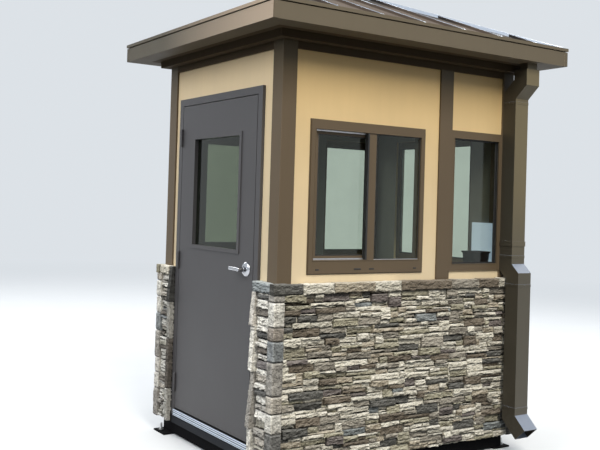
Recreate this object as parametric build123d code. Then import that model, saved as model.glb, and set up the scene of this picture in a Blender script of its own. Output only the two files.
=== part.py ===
from build123d import *
import math
import os

os.makedirs("parts", exist_ok=True)

# Booth frame: origin on the ground at the middle of the plan, X along the window wall,
# the window wall faces -Y, the door wall faces -X, Z up. All sizes are millimetres.

# Plan over the corner posts and the heights of the main levels
booth_w = 1905.0
post_size = 100.0
strip_w = 78.0
post_proud = 12.0
wall_t = 50.0
foot_t = 10.0
base_h = 80.0
base_rail_w = 60.0
base_inset = 18.0
floor_t = 98.0
header_h = 244.0
trim_h = 44.0
post_round = 3.0

# Stone facing, measured out from the post faces
stone_gap = 7.0
stone_h = 999.0
cap_t = 54.0
stone_proud = 42.0
cap_proud = 48.0
stone_joint = 2.0

# Door leaf, frame and hardware
leaf_w = 914.0
leaf_h = 2032.0
leaf_t = 44.5
leaf_step = 12.0
leaf_gap = 5.0
leaf_proud = 8.0
leaf_bevel = 2.2
door_shift = 8.0
frame_face = 46.0
stop_w = 16.0
stop_gap = 5.5
sill_back = 3.0
threshold_proud = 20.0
threshold_h = 44.0
threshold_gap = 6.0
threshold_side = 0.3
rib_count = 5
rib_depth = 2.0
lite_w = 600.0
lite_h = 740.0
lite_z0 = 1088.0
lite_face = 24.0
lite_proud = 6.0
lite_lap = 8.0
glass_t = 6.0
hinge_h = 114.0
hinge_r = 8.0
hinge_plate = 1.9
hinge_reach = 38.0
hinge_up = 172.0
hinge_down = 211.0
knuckles = 5
knuckle_gap = 0.4
lever_z = 1004.0
backset = 70.0
rose_r = 44.0
rose_t = 16.0
lever_neck = 52.0
lever_r = 11.0
lever_len = 114.0
rose_clear = 1.0

# Front wall openings: a sliding window, a cover batten and a fixed window
slider_in = 115.5
slider_up = 50.0
slider_h = 889.0
slider_jamb = 34.0
slider_head = 52.0
slider_sill = 77.0
mullion_shift = -7.5
mullion_w = 56.0
mullion_back = 4.0
sash_stile = 38.0
sash_rail = 24.0
sash_t = 20.0
sash_set = 32.0
sash_lap = 12.0
sash_clear = 0.3
batten_gap = 123.0
batten_w = 110.0
fixed_w = 467.5
fixed_up = 49.0
fixed_h = 907.0
fixed_jamb = 28.0
fixed_head = 50.0
fixed_sill = 45.0
slider_depth = 60.0
fixed_depth = 40.0
window_proud = 10.0
slider_glass_set = 12.0
fixed_glass_set = 30.0
side_window_w = 760.0

# Counter under the front windows, with a deep tray in its corner and a sheet of paper beside it
counter_d = 420.0
counter_t = 30.0
counter_up = 15.0
counter_clear = 0.5
counter_lever_gap = 40.0
bracket_in = 340.0
bracket_w = 40.0
bracket_h = 180.0
bracket_d = 300.0
bracket_toe = 25.0
tray_side = 3.5
tray_back = 13.0
tray_w = 160.0
tray_d = 110.0
tray_h = 103.0
tray_wall = 3.0
tray_lip = 5.0
tray_lip_h = 12.0
tray_lean = 6.0
notice_w = 184.0
notice_h = 267.0
notice_t = 1.0
notice_back = 0.5
notice_up = 28.5

# Roof ring, box gutter, drip edge and standing seam hip roof
ring_proud = 55.0
ring_in = 45.0
ring_h = 45.0
eave_proud = 108.0
gutter_w = 128.0
gutter_h = 94.0
gutter_t = 2.5
drip_gap = 6.0
drip_h = 20.0
drip_t = 5.0
drip_flange = 3.0
eave_back = 12.0
roof_slope = 5.0 / 12.0
panel_t = 8.0
seam_pitch = 330.0
seam_shift = -92.0
seam_w = 9.0
seam_h = 18.0
seam_clear = 1.0
hip_gap = 1.0
cap_w = 76.0
roof_cap_h = 20.0
ceiling_t = 24.0

# Square downspout on the window wall at its right hand post
pipe_w = 122.0
pipe_d = 102.0
pipe_in = 37.5
pipe_clear = 8.0
outlet_shift = 77.0
outlet_back = 8.0
outlet_w = 92.0
outlet_d = 68.0
outlet_h = 40.0
top_bend_down = 102.0
offset_bend_up = 97.0
shoe_z = 262.0
shoe_len = 113.0
mouth_t = 3.0
mouth_depth = 70.0
strap_h = 33.0
strap_t = 3.0
strap_up = 76.0
elbow_stub = 40.0

# Anchor plates under the corners
plate_len = 152.0
plate_out = 52.0
plate_in = 95.0
plate_end = 5.0
anchor_r = 9.0
anchor_out = 18.0
anchor_in = 51.0

booth_d = leaf_w + 2 * (leaf_gap + frame_face + strip_w + post_size)
half_w = booth_w / 2
half_d = booth_d / 2
bay_x = half_w - post_size
bay_y = half_d - post_size
base_top = foot_t + base_h
floor_top = base_top + floor_t
stone_z0 = base_top + stone_gap
cap_z0 = stone_z0 + stone_h
cap_top = cap_z0 + cap_t
face_in = post_proud + wall_t
room_x = half_w - face_in
room_y = half_d - face_in
frame_depth = leaf_proud + face_in
leaf_z0 = floor_top + leaf_step
door_x = -(half_w + leaf_proud)
inner_x = door_x + leaf_t
open_y0 = door_shift - leaf_w / 2 - leaf_gap
open_y1 = door_shift + leaf_w / 2 + leaf_gap
open_top = leaf_z0 + leaf_h + leaf_gap
frame_y0 = open_y0 - frame_face
frame_y1 = open_y1 + frame_face
frame_top = open_top + frame_face
wall_top = frame_top + header_h
ring_top = wall_top + ring_h
gutter_out = eave_proud + gutter_w
drip_z0 = ring_top + gutter_h + drip_gap
eave_z = drip_z0 + drip_h - seam_h
threshold_top = leaf_z0 - threshold_gap
threshold_z0 = threshold_top - threshold_h
pivot_x = door_x - hinge_r - 1.0
pivot_y = open_y1 - leaf_gap / 2
lever_y = open_y0 + leaf_gap + backset
lever_height = leaf_z0 + lever_z
slider_w = 2 * bay_x - slider_in - batten_gap - batten_w - fixed_w
slider_x0 = slider_in - bay_x
mullion_x0 = slider_x0 + slider_w / 2 + mullion_shift
slider_z0 = cap_top + slider_up
batten_x0 = slider_x0 + slider_w + batten_gap
fixed_x0 = batten_x0 + batten_w
fixed_z0 = cap_top + fixed_up
side_half = side_window_w / 2
window_out = half_d - post_proud + window_proud
counter_top = slider_z0 + counter_up
pipe_x = half_w - pipe_in
roof_x = half_w + gutter_out
roof_y = half_d + gutter_out
edge_x = roof_x - eave_back
edge_y = roof_y - eave_back
ridge_half = roof_x - roof_y


def block(x0, x1, y0, y1, z0, z1):
    """A rectangular block between two corners."""
    size = Box(x1 - x0, y1 - y0, z1 - z0)
    return Pos((x0 + x1) / 2, (y0 + y1) / 2, (z0 + z1) / 2) * size


def ring(out_x, out_y, in_x, in_y, z0, z1):
    """A rectangular ring about the Z axis, sizes given as half widths."""
    outer = block(-out_x, out_x, -out_y, out_y, z0, z1)
    return outer - block(-in_x, in_x, -in_y, in_y, z0 - 1, z1 + 1)


def prism_x(points, x0, x1):
    """An outline in Y and Z, made solid from x0 to x1."""
    face = Plane.YZ.offset(x0) * make_face(Polyline(*points, close=True))
    return extrude(face, x1 - x0)


def prism_y(points, y0, y1):
    """An outline in X and Z, made solid from y0 to y1."""
    face = Plane.XZ.offset(-y0) * make_face(Polyline(*points, close=True))
    return extrude(face, -(y1 - y0))


def prism_z(points, z0, z1):
    """An outline in X and Y, made solid from z0 to z1."""
    face = Plane.XY.offset(z0) * make_face(Polyline(*points, close=True))
    return extrude(face, z1 - z0)


def hip_volume(out_x, out_y, z):
    """Everything under a hip roof whose eaves lie at height z."""
    across = prism_x([(-out_y, z), (out_y, z), (0, z + roof_slope * out_y)], -out_x, out_x)
    along = prism_y([(-out_x, z), (out_x, z), (0, z + roof_slope * out_x)], -out_y, out_y)
    return across & along


def save(name, shape):
    """Write one piece to its own file."""
    export_step(shape, "parts/" + name + ".step")


def group(solids):
    """Several separate solids of one kind in one piece."""
    return Compound(children=[s for s in solids])


# Steel base on four anchor plates
def base_frame():
    out_x = half_w - base_inset
    out_y = half_d - base_inset
    in_x = out_x - base_rail_w
    in_y = out_y - base_rail_w
    half = base_rail_w / 2
    frame = ring(out_x, out_y, in_x, in_y, foot_t, base_top)
    return frame + block(-half, half, -in_y, in_y, foot_t, base_top)


def foot_plates():
    x0 = half_w - plate_in
    x1 = half_w + plate_out
    y1 = half_d - plate_end
    plate = block(x0, x1, y1 - plate_len, y1, 0, foot_t)
    plate -= Pos(half_w + anchor_out, half_d - anchor_in, foot_t / 2) * Cylinder(anchor_r, foot_t * 2)
    pair = [plate, mirror(plate, Plane.XZ)]
    return group(pair + [mirror(p, Plane.YZ) for p in pair])


def floor_deck():
    """Floor between the walls, notched round the corner posts."""
    deck = block(-room_x, room_x, -room_y, room_y, base_top, floor_top)
    notch = 2 * (post_size - face_in)
    for sx in (-1, 1):
        for sy in (-1, 1):
            deck -= Pos(sx * room_x, sy * room_y, base_top + floor_t / 2) * Box(notch, notch, floor_t * 2)
    return deck


def corner_posts():
    post = block(bay_x, half_w, bay_y, half_d, base_top, wall_top)
    post = fillet(post.edges().filter_by(Axis.Z), post_round)
    pair = [post, mirror(post, Plane.XZ)]
    return group(pair + [mirror(p, Plane.YZ) for p in pair])


def window_holes():
    """The front wall's two openings, each as x0, x1, z0, z1."""
    slider = (slider_x0, slider_x0 + slider_w, slider_z0, slider_z0 + slider_h)
    return slider, (fixed_x0, bay_x, fixed_z0, fixed_z0 + fixed_h)


def long_wall():
    """The back wall; the window wall is its mirror image."""
    y_out = half_d - post_proud
    wall = block(-bay_x, bay_x, room_y, y_out, base_top, wall_top)
    for x0, x1, z0, z1 in window_holes():
        wall -= block(x0, x1, room_y - 5, y_out + 5, z0, z1)
    return wall


def right_wall():
    x_out = half_w - post_proud
    wall = block(room_x, x_out, -bay_y, bay_y, base_top, wall_top)
    return wall - block(room_x - 5, x_out + 5, -side_half, side_half, fixed_z0, fixed_z0 + fixed_h)


def left_strip(y0, y1, z0, z1):
    """Part of the door wall."""
    return block(post_proud - half_w, -room_x, y0, y1, z0, z1)


def battens():
    strip = block(batten_x0, fixed_x0, half_d - post_proud, half_d, cap_top, wall_top - trim_h)
    return group([strip, mirror(strip, Plane.XZ)])


def top_trim():
    z0 = wall_top - trim_h
    along = block(-bay_x, bay_x, half_d - post_proud, half_d, z0, wall_top)
    across = block(half_w - post_proud, half_w, -bay_y, bay_y, z0, wall_top)
    return group([along, mirror(along, Plane.XZ), across, mirror(across, Plane.YZ)])


# Stone facing: each slab is bedded against the wall between the posts
def long_stone(proud, z0, z1):
    """Facing of the back wall, from corner to corner; the front is its mirror image."""
    end = half_w + proud
    slab = block(-end, end, half_d, half_d + proud, z0, z1)
    return slab + block(-bay_x, bay_x, half_d - post_proud, half_d, z0, z1)


def side_stone(proud, z0, z1, y0, y1):
    """Facing of the right wall between y0 and y1; the door wall's is its mirror image."""
    slab = block(half_w, half_w + proud, y0, y1, z0, z1)
    return slab + block(half_w - post_proud, half_w, max(y0, -bay_y), min(y1, bay_y), z0, z1)


def stone_caps():
    along = long_stone(cap_proud, cap_z0, cap_top)
    end = half_d - stone_joint
    near = side_stone(cap_proud, cap_z0, cap_top, -end, frame_y0)
    far = side_stone(cap_proud, cap_z0, cap_top, frame_y1, end)
    caps = [along, mirror(along, Plane.XZ), side_stone(cap_proud, cap_z0, cap_top, -end, end)]
    return group(caps + [mirror(near, Plane.YZ), mirror(far, Plane.YZ)])


def left_stones():
    near = side_stone(stone_proud, stone_z0, cap_z0, -half_d, frame_y0)
    far = side_stone(stone_proud, stone_z0, cap_z0, frame_y1, half_d)
    return group([mirror(near, Plane.YZ), mirror(far, Plane.YZ)])


# Door opening
def door_sill():
    return block(door_x + sill_back, -room_x, frame_y0, frame_y1, base_top, threshold_z0)


def threshold():
    """Ribbed sill plate under the leaf."""
    x0 = -(half_w + threshold_proud)
    side = threshold_side
    body = block(x0, -room_x, open_y0 + side, open_y1 - side, threshold_z0, threshold_top)
    pitch = threshold_h / rib_count
    for i in range(rib_count):
        z = threshold_z0 + (i + 0.5) * pitch
        body -= block(x0 - 1, x0 + rib_depth, open_y0, open_y1, z - pitch / 5, z + pitch / 5)
    return body


def door_frame():
    """Jambs and head with the stop the leaf closes against."""
    x1 = door_x + frame_depth
    stop_x = inner_x + stop_gap
    frame = block(door_x, x1, frame_y0, frame_y1, threshold_z0, frame_top)
    frame -= block(door_x - 1, stop_x, open_y0, open_y1, threshold_z0 - 1, open_top)
    in_y0 = open_y0 + stop_w
    in_y1 = open_y1 - stop_w
    frame -= block(door_x - 1, x1 + 1, in_y0, in_y1, threshold_z0 - 1, open_top - stop_w)
    return frame - block(stop_x - 1, x1 + 1, open_y0, open_y1, threshold_z0 - 1, threshold_top)


def across_leaf(radius, x0, x1):
    """A round bar or bore on the lever's axis."""
    return Pos((x0 + x1) / 2, lever_y, lever_height) * (Rot(0, 90, 0) * Cylinder(radius, x1 - x0))


def door_leaf():
    """Flush leaf with a bevelled lock edge, cut out for the lite and the lever."""
    y0 = open_y0 + leaf_gap
    y1 = open_y1 - leaf_gap
    outline = [(door_x, y0), (inner_x, y0 + leaf_bevel), (inner_x, y1), (door_x, y1)]
    leaf = prism_z(outline, leaf_z0, leaf_z0 + leaf_h)
    half = lite_w / 2 - lite_face + lite_lap
    z0 = leaf_z0 + lite_z0 + lite_face - lite_lap
    z1 = leaf_z0 + lite_z0 + lite_h - lite_face + lite_lap
    leaf -= block(door_x - 1, inner_x + 1, door_shift - half, door_shift + half, z0, z1)
    return leaf - across_leaf(lever_r + rose_clear, door_x - 1, inner_x + 1)


def lite_frame():
    """Vision light trim: a ring on each face of the leaf joined through the hole."""
    z0 = leaf_z0 + lite_z0
    z1 = z0 + lite_h
    y0 = door_shift - lite_w / 2
    y1 = door_shift + lite_w / 2
    x0 = door_x - lite_proud
    x1 = inner_x + lite_proud
    neck = lite_face - lite_lap
    trim = block(x0, door_x, y0, y1, z0, z1)
    trim += block(inner_x, x1, y0, y1, z0, z1)
    trim += block(x0, x1, y0 + neck, y1 - neck, z0 + neck, z1 - neck)
    return trim - block(x0 - 1, x1 + 1, y0 + lite_face, y1 - lite_face, z0 + lite_face, z1 - lite_face)


def lite_glass():
    z0 = leaf_z0 + lite_z0 + lite_face
    z1 = leaf_z0 + lite_z0 + lite_h - lite_face
    half = lite_w / 2 - lite_face
    mid = door_x + leaf_t / 2
    return block(mid - glass_t / 2, mid + glass_t / 2, door_shift - half, door_shift + half, z0, z1)


def hinge_side(on_leaf):
    """Three butt hinge halves: their knuckles alternate along one pin line."""
    solids = []
    step = hinge_h / knuckles
    plate_y0 = open_y1 - leaf_gap if on_leaf else open_y1 - hinge_plate
    low_z = leaf_z0 + hinge_up
    top_z = leaf_z0 + leaf_h - hinge_down
    for z in (low_z, (low_z + top_z) / 2, top_z):
        z0 = z - hinge_h / 2
        half = block(door_x, door_x + hinge_reach, plate_y0, plate_y0 + hinge_plate, z0, z0 + hinge_h)
        for i in range(1 if on_leaf else 0, knuckles, 2):
            low = z0 + i * step + knuckle_gap / 2
            high = low + step - knuckle_gap
            half += Pos(pivot_x, pivot_y, (low + high) / 2) * Cylinder(hinge_r, high - low)
            half += block(pivot_x, door_x + hinge_plate, plate_y0, plate_y0 + hinge_plate, low, high)
        solids.append(half)
    return group(solids)


def lever_roses():
    """Round roses on both faces of the leaf."""
    bore = across_leaf(lever_r + rose_clear, door_x - 2 * rose_t, inner_x + 2 * rose_t)
    outside = across_leaf(rose_r, door_x - rose_t, door_x) - bore
    inside = across_leaf(rose_r, inner_x, inner_x + rose_t) - bore
    return group([outside, inside])


def door_lever():
    """Outside and inside levers on one spindle."""
    x0 = door_x - rose_t - lever_neck
    x1 = inner_x + rose_t + lever_neck
    both = across_leaf(lever_r, x0, x1)
    for x in (x0 + lever_r, x1 - lever_r):
        both += Pos(x, lever_y + lever_len / 2, lever_height) * (Rot(90, 0, 0) * Cylinder(lever_r, lever_len))
    return both


# Windows, drawn on the back wall with depths running inward from the frame's outer face
def slider_frame():
    """Outer frame and meeting stile of the sliding window."""
    x0, x1, z0, z1 = window_holes()[0]
    y_in = window_out - slider_depth
    low = z0 + slider_sill
    high = z1 - slider_head
    frame = block(x0, x1, y_in, window_out, z0, z1)
    frame -= block(x0 + slider_jamb, x1 - slider_jamb, y_in - 1, window_out + 1, low, high)
    y0 = window_out - sash_set + mullion_back
    return frame + block(mullion_x0, mullion_x0 + mullion_w, y0, window_out - mullion_back, low, high)


def slider_sash_box():
    """Outer sizes of the inner sash, as x0, x1, z0, z1."""
    x0, x1, z0, z1 = window_holes()[0]
    right = mullion_x0 + mullion_w - sash_lap
    return x0 + slider_jamb + sash_clear, right, z0 + slider_sill + sash_clear, z1 - slider_head - sash_clear


def slider_sash():
    """The inner sash, which would run behind the outer pane."""
    x0, x1, z0, z1 = slider_sash_box()
    y1 = window_out - sash_set
    y0 = y1 - sash_t
    sash = block(x0, x1, y0, y1, z0, z1)
    return sash - block(x0 + sash_stile, x1 - sash_stile, y0 - 1, y1 + 1, z0 + sash_rail, z1 - sash_rail)


def slider_panes():
    """Glass of the inner sash, and the outer pane beside the meeting stile."""
    x0, x1, z0, z1 = slider_sash_box()
    mid = window_out - sash_set - sash_t / 2
    y0 = mid - glass_t / 2
    inner = block(x0 + sash_stile, x1 - sash_stile, y0, y0 + glass_t, z0 + sash_rail, z1 - sash_rail)
    x0, x1, z0, z1 = window_holes()[0]
    y1 = window_out - slider_glass_set
    left = mullion_x0 + mullion_w
    return [inner, block(left, x1 - slider_jamb, y1 - glass_t, y1, z0 + slider_sill, z1 - slider_head)]


def fixed_frame(x0, x1):
    y_in = window_out - fixed_depth
    z0 = fixed_z0 + fixed_sill
    z1 = fixed_z0 + fixed_h - fixed_head
    frame = block(x0, x1, y_in, window_out, fixed_z0, fixed_z0 + fixed_h)
    return frame - block(x0 + fixed_jamb, x1 - fixed_jamb, y_in - 1, window_out + 1, z0, z1)


def fixed_pane(x0, x1):
    y0 = window_out - fixed_glass_set - glass_t / 2
    z0 = fixed_z0 + fixed_sill
    z1 = fixed_z0 + fixed_h - fixed_head
    return block(x0 + fixed_jamb, x1 - fixed_jamb, y0, y0 + glass_t, z0, z1)


def to_right_wall(shape):
    """Turn a window made for the back wall onto the right wall."""
    return Pos(half_w - half_d, 0, 0) * (Rot(0, 0, -90) * shape)


def both_long_walls(shape):
    return [shape, mirror(shape, Plane.XZ)]


# Interior
def counter():
    """Shelf along the window wall on two brackets, cut back from the door lever."""
    x1 = bay_x - counter_clear
    y0 = -room_y
    z1 = counter_top - counter_t
    top = block(counter_lever_gap - x1, x1, y0, y0 + counter_d, z1, counter_top)
    leg = [(y0, z1), (y0 + bracket_d, z1), (y0 + bracket_d, z1 - bracket_toe)]
    leg += [(y0 + bracket_toe, z1 - bracket_h), (y0, z1 - bracket_h)]
    for x in (bracket_in - bay_x, bay_x - bracket_in):
        top += prism_x(leg, x - bracket_w / 2, x + bracket_w / 2)
    return top


def tray_level(inset, z):
    """Outline of the tray at one height, drawn in from its rim."""
    return Plane.XY.offset(z) * Rectangle(tray_w - 2 * inset, tray_d - 2 * inset)


def tray():
    """Deep tray with sloping sides and a lip round its rim."""
    foot = tray_lip + tray_lean
    half_x = tray_w / 2
    half_y = tray_d / 2
    shell = loft([tray_level(foot, 0), tray_level(tray_lip, tray_h)])
    shell += block(-half_x, half_x, -half_y, half_y, tray_h - tray_lip_h, tray_h)
    t = tray_wall
    shell -= loft([tray_level(foot + t, t), tray_level(tray_lip + t, tray_h)])
    return Pos(bay_x - tray_side - half_x, tray_back - room_y + half_y, counter_top) * shell


def notice():
    """A sheet of paper on the side of the corner post beside the fixed window."""
    y0 = notice_back - room_y
    z0 = counter_top + notice_up
    return block(bay_x - notice_t, bay_x, y0, y0 + notice_w, z0, z0 + notice_h)


def ceiling():
    x1 = half_w - ring_in
    y1 = half_d - ring_in
    return block(-x1, x1, -y1, y1, wall_top, wall_top + ceiling_t)


# Roof
def roof_ring():
    """Eave ring: a soffit step under the gutter and a curb that carries the panels."""
    in_x = half_w - ring_in
    in_y = half_d - ring_in
    under_z = eave_z - panel_t
    low = ring(half_w + ring_proud, half_d + ring_proud, in_x, in_y, wall_top, ring_top)
    peak = under_z + roof_slope * roof_y
    high = ring(half_w + eave_proud, half_d + eave_proud, in_x, in_y, ring_top, peak)
    under = hip_volume(roof_x, roof_y, under_z)
    under += block(-roof_x, roof_x, -roof_y, roof_y, wall_top, under_z)
    return low + (high & under)


def gutter():
    """Box gutter on all four sides."""
    in_x = half_w + eave_proud
    in_y = half_d + eave_proud
    t = gutter_t
    body = ring(roof_x, roof_y, in_x, in_y, ring_top, ring_top + gutter_h)
    return body - ring(roof_x - t, roof_y - t, in_x + t, in_y + t, ring_top + t, ring_top + gutter_h + 1)


def drip_edge():
    """Eave strip that stands as high as the seams, on a flange that meets the panels."""
    strip = ring(roof_x + drip_t, roof_y + drip_t, roof_x, roof_y, drip_z0, drip_z0 + drip_h)
    return strip + ring(roof_x, roof_y, edge_x, edge_y, drip_z0, drip_z0 + drip_flange)


def long_region(z0, z1):
    """Plan of one long slope, trimmed back from the hips, on the back side."""
    gap = hip_gap
    points = [(-edge_x + gap, edge_y), (edge_x - gap, edge_y)]
    points += [(ridge_half - gap, gap), (-ridge_half + gap, gap)]
    return prism_z(points, z0, z1)


def end_region(z0, z1):
    gap = hip_gap
    points = [(edge_x, -edge_y + gap), (edge_x, edge_y - gap), (ridge_half + gap, 0)]
    return prism_z(points, z0, z1)


def cap_strips(width, z0, z1):
    """Plan strips along the four hips and the ridge."""
    half = width / 2
    mid_x = (roof_x + ridge_half) / 2
    hip_len = roof_y * math.sqrt(2)
    strips = block(-ridge_half, ridge_half, -half, half, z0, z1)
    for sx in (-1, 1):
        for sy in (-1, 1):
            turned = Rot(0, 0, 45 * sx * sy) * Box(hip_len + width, width, z1 - z0)
            strips += Pos(sx * mid_x, sy * roof_y / 2, (z0 + z1) / 2) * turned
    return strips & block(-edge_x, edge_x, -edge_y, edge_y, z0, z1)


z_low = wall_top
z_high = eave_z + roof_slope * roof_y + 2 * wall_t


def roof_shell(lift, thick):
    """The space between two hip roof surfaces."""
    top = hip_volume(roof_x, roof_y, eave_z + lift)
    top += block(-roof_x, roof_x, -roof_y, roof_y, eave_z - panel_t - 1, eave_z + lift)
    under = eave_z + lift - thick
    low = hip_volume(roof_x, roof_y, under)
    low += block(-roof_x - 1, roof_x + 1, -roof_y - 1, roof_y + 1, eave_z - panel_t - 2, under)
    return top - low


def seam_strips_long():
    """Plan lines of the seams on a long slope, on the back side."""
    count = int(roof_x // seam_pitch) + 1
    lines = []
    for i in range(-count, count + 1):
        x = seam_shift + i * seam_pitch
        if abs(x) < roof_x - cap_w:
            lines.append(block(x - seam_w / 2, x + seam_w / 2, 0, roof_y, z_low, z_high))
    return lines


def seam_strips_end():
    count = int(roof_y // seam_pitch) + 1
    lines = []
    for i in range(-count, count + 1):
        y = i * seam_pitch
        if abs(y) < roof_y - cap_w:
            lines.append(block(0, roof_x, y - seam_w / 2, y + seam_w / 2, z_low, z_high))
    return lines


def slope(region, seams, keep_off):
    """One roof slope with its standing seams, which stop short of the caps."""
    panel = roof_shell(0, panel_t) & region
    ribs = roof_shell(seam_h, seam_h)
    for line in seams:
        rib = (ribs & line & region) - keep_off
        panel += rib
    return panel


def roof_panels():
    keep_off = cap_strips(cap_w + 2 * seam_clear, z_low, z_high)
    back = slope(long_region(z_low, z_high), seam_strips_long(), keep_off)
    right = slope(end_region(z_low, z_high), seam_strips_end(), keep_off)
    return back, mirror(back, Plane.XZ), right, mirror(right, Plane.YZ)


def roof_caps():
    return roof_shell(roof_cap_h, roof_cap_h) & cap_strips(cap_w, z_low, z_high)


# Downspout: outlines are drawn as distance out from the window wall's posts, and height
low_shift = cap_proud + pipe_clear
lower_out = low_shift + pipe_d
outlet_out = eave_proud + outlet_shift
top_shift = outlet_out - pipe_d
turn = pipe_d * math.tan(math.radians(22.5))
outlet_z = ring_top - outlet_h
top_bend_z = wall_top - top_bend_down
offset_bend_z = cap_top + offset_bend_up
upper_top = top_bend_z - top_shift - elbow_stub
upper_low = offset_bend_z + elbow_stub
lower_top = offset_bend_z - turn - low_shift - elbow_stub
lower_low = shoe_z + elbow_stub


def spout(points, width):
    return prism_x([(-(half_d + out), z) for out, z in points], pipe_x - width / 2, pipe_x + width / 2)


def downspout_pipes():
    """The outlet collar, the upper pipe and the lower pipe."""
    out_mid = outlet_out - outlet_back - outlet_d / 2
    collar = Pos(pipe_x, -(half_d + out_mid), outlet_z + outlet_h / 2) * Box(outlet_w, outlet_d, outlet_h)
    upper = [(0, upper_low), (pipe_d, upper_low), (pipe_d, upper_top), (0, upper_top)]
    lower = [(low_shift, lower_low), (lower_out, lower_low), (lower_out, lower_top), (low_shift, lower_top)]
    return group([collar, spout(upper, pipe_w), spout(lower, pipe_w)])


def top_elbows():
    z = top_bend_z
    outline = [(outlet_out, outlet_z), (outlet_out, z), (pipe_d, z - top_shift), (pipe_d, upper_top)]
    outline += [(0, upper_top), (0, z - top_shift + turn), (top_shift, z + turn), (top_shift, outlet_z)]
    return spout(outline, pipe_w)


def offset_elbows():
    z = offset_bend_z
    outline = [(pipe_d, upper_low), (pipe_d, z), (lower_out, z - low_shift), (lower_out, lower_top)]
    outline += [(low_shift, lower_top), (low_shift, z - turn - low_shift), (0, z - turn), (0, upper_low)]
    return spout(outline, pipe_w)


def shoe():
    """The bottom elbow, open at its mouth."""
    run = shoe_len / math.sqrt(2)
    wide = pipe_d / math.sqrt(2)
    lip = (lower_out + run, shoe_z - run)
    heel = (lip[0] - wide, lip[1] - wide)
    outline = [(lower_out, lower_low), (lower_out, shoe_z), lip, heel]
    outline += [(low_shift, shoe_z - turn), (low_shift, lower_low)]
    wall = mouth_t / math.sqrt(2)
    deep = mouth_depth / math.sqrt(2)
    near = (lip[0] - wall + deep, lip[1] - wall - deep)
    below = (heel[0] + wall + deep, heel[1] + wall - deep)
    back = 2 * deep
    bore = [near, below, (below[0] - back, below[1] + back), (near[0] - back, near[1] + back)]
    return spout(outline, pipe_w) - spout(bore, pipe_w - 2 * mouth_t)


def downspout_strap():
    half = pipe_w / 2
    z0 = upper_low + strap_up
    z1 = z0 + strap_h
    out = half_d + pipe_d
    band = block(pipe_x - half - strap_t, pipe_x + half + strap_t, -out - strap_t, -half_d, z0, z1)
    return band - block(pipe_x - half, pipe_x + half, -out, -half_d + 1, z0 - 1, z1 + 1)


save("base_frame", base_frame())
save("foot_plates", foot_plates())
save("floor_deck", floor_deck())
save("corner_posts", corner_posts())
back_wall = long_wall()
save("wall_front", mirror(back_wall, Plane.XZ))
save("wall_back", back_wall)
save("wall_right", right_wall())
near_strip = left_strip(-bay_y, frame_y0, base_top, wall_top)
far_strip = left_strip(frame_y1, bay_y, base_top, wall_top)
save("wall_left_sides", group([near_strip, far_strip]))
save("wall_left_header", left_strip(frame_y0, frame_y1, frame_top, wall_top))
save("battens", battens())
save("top_trim", top_trim())
back_stone = long_stone(stone_proud, stone_z0, cap_z0)
save("stone_front", mirror(back_stone, Plane.XZ))
save("stone_back", back_stone)
save("stone_right", side_stone(stone_proud, stone_z0, cap_z0, -half_d, half_d))
save("stone_left", left_stones())
save("stone_caps", stone_caps())
save("door_sill", door_sill())
save("threshold", threshold())
save("door_frame", door_frame())
save("door_leaf", door_leaf())
save("lite_frame", lite_frame())
save("lite_glass", lite_glass())
save("hinges_frame_side", hinge_side(False))
save("hinges_door_side", hinge_side(True))
save("lever_roses", lever_roses())
save("door_lever", door_lever())
save("slider_frames", group(both_long_walls(slider_frame())))
save("slider_sashes", group(both_long_walls(slider_sash())))
fixed_windows = both_long_walls(fixed_frame(fixed_x0, bay_x))
fixed_windows.append(to_right_wall(fixed_frame(-side_half, side_half)))
save("fixed_frames", group(fixed_windows))
panes = []
for pane in slider_panes() + [fixed_pane(fixed_x0, bay_x)]:
    panes += both_long_walls(pane)
panes.append(to_right_wall(fixed_pane(-side_half, side_half)))
save("window_glass", group(panes))
save("ceiling", ceiling())
save("counter", counter())
save("tray", tray())
save("notice", notice())
save("roof_ring", roof_ring())
save("gutter", gutter())
save("drip_edge", drip_edge())
back_slope, front_slope, right_slope, left_slope = roof_panels()
save("roof_front", front_slope)
save("roof_back", back_slope)
save("roof_right", right_slope)
save("roof_left", left_slope)
save("roof_caps", roof_caps())
save("downspout_pipes", downspout_pipes())
save("downspout_elbows", group([top_elbows(), offset_elbows(), shoe()]))
save("downspout_strap", downspout_strap())
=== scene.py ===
import bpy
import bmesh
import math
import random
from mathutils import Matrix, Vector, noise


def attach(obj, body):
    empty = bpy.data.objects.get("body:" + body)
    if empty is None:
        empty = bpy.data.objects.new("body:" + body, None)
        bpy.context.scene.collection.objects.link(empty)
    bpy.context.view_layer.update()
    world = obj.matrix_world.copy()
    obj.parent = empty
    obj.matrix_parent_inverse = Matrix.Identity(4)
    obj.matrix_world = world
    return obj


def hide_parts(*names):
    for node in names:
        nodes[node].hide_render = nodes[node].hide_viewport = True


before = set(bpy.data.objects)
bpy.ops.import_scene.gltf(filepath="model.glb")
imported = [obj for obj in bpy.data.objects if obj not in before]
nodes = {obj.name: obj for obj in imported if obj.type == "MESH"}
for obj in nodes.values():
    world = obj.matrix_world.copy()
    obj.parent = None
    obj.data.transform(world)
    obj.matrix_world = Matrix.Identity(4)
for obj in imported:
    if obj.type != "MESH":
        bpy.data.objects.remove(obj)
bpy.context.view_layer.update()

# The booth's main sizes in metres, as in the part's source: x runs along the window wall, y from it to
# the back, and HALF_W and HALF_D reach to the faces of the corner posts
HALF_W = 0.9525
HALF_D = 0.686
POST_PROUD = 0.012
WALL_T = 0.050
STONE_Z0 = 0.097
CAP_Z0 = 1.096
CAP_TOP = 1.150
STONE_PROUD = 0.042
CAP_PROUD = 0.048
FRAME_Y0 = -0.500
FRAME_Y1 = 0.516
DOOR_X = -0.9605
EAVE_OUT = 0.108
RING_TOP = 2.572
GUTTER_H = 0.094
GUTTER_X = HALF_W + 0.236
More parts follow.
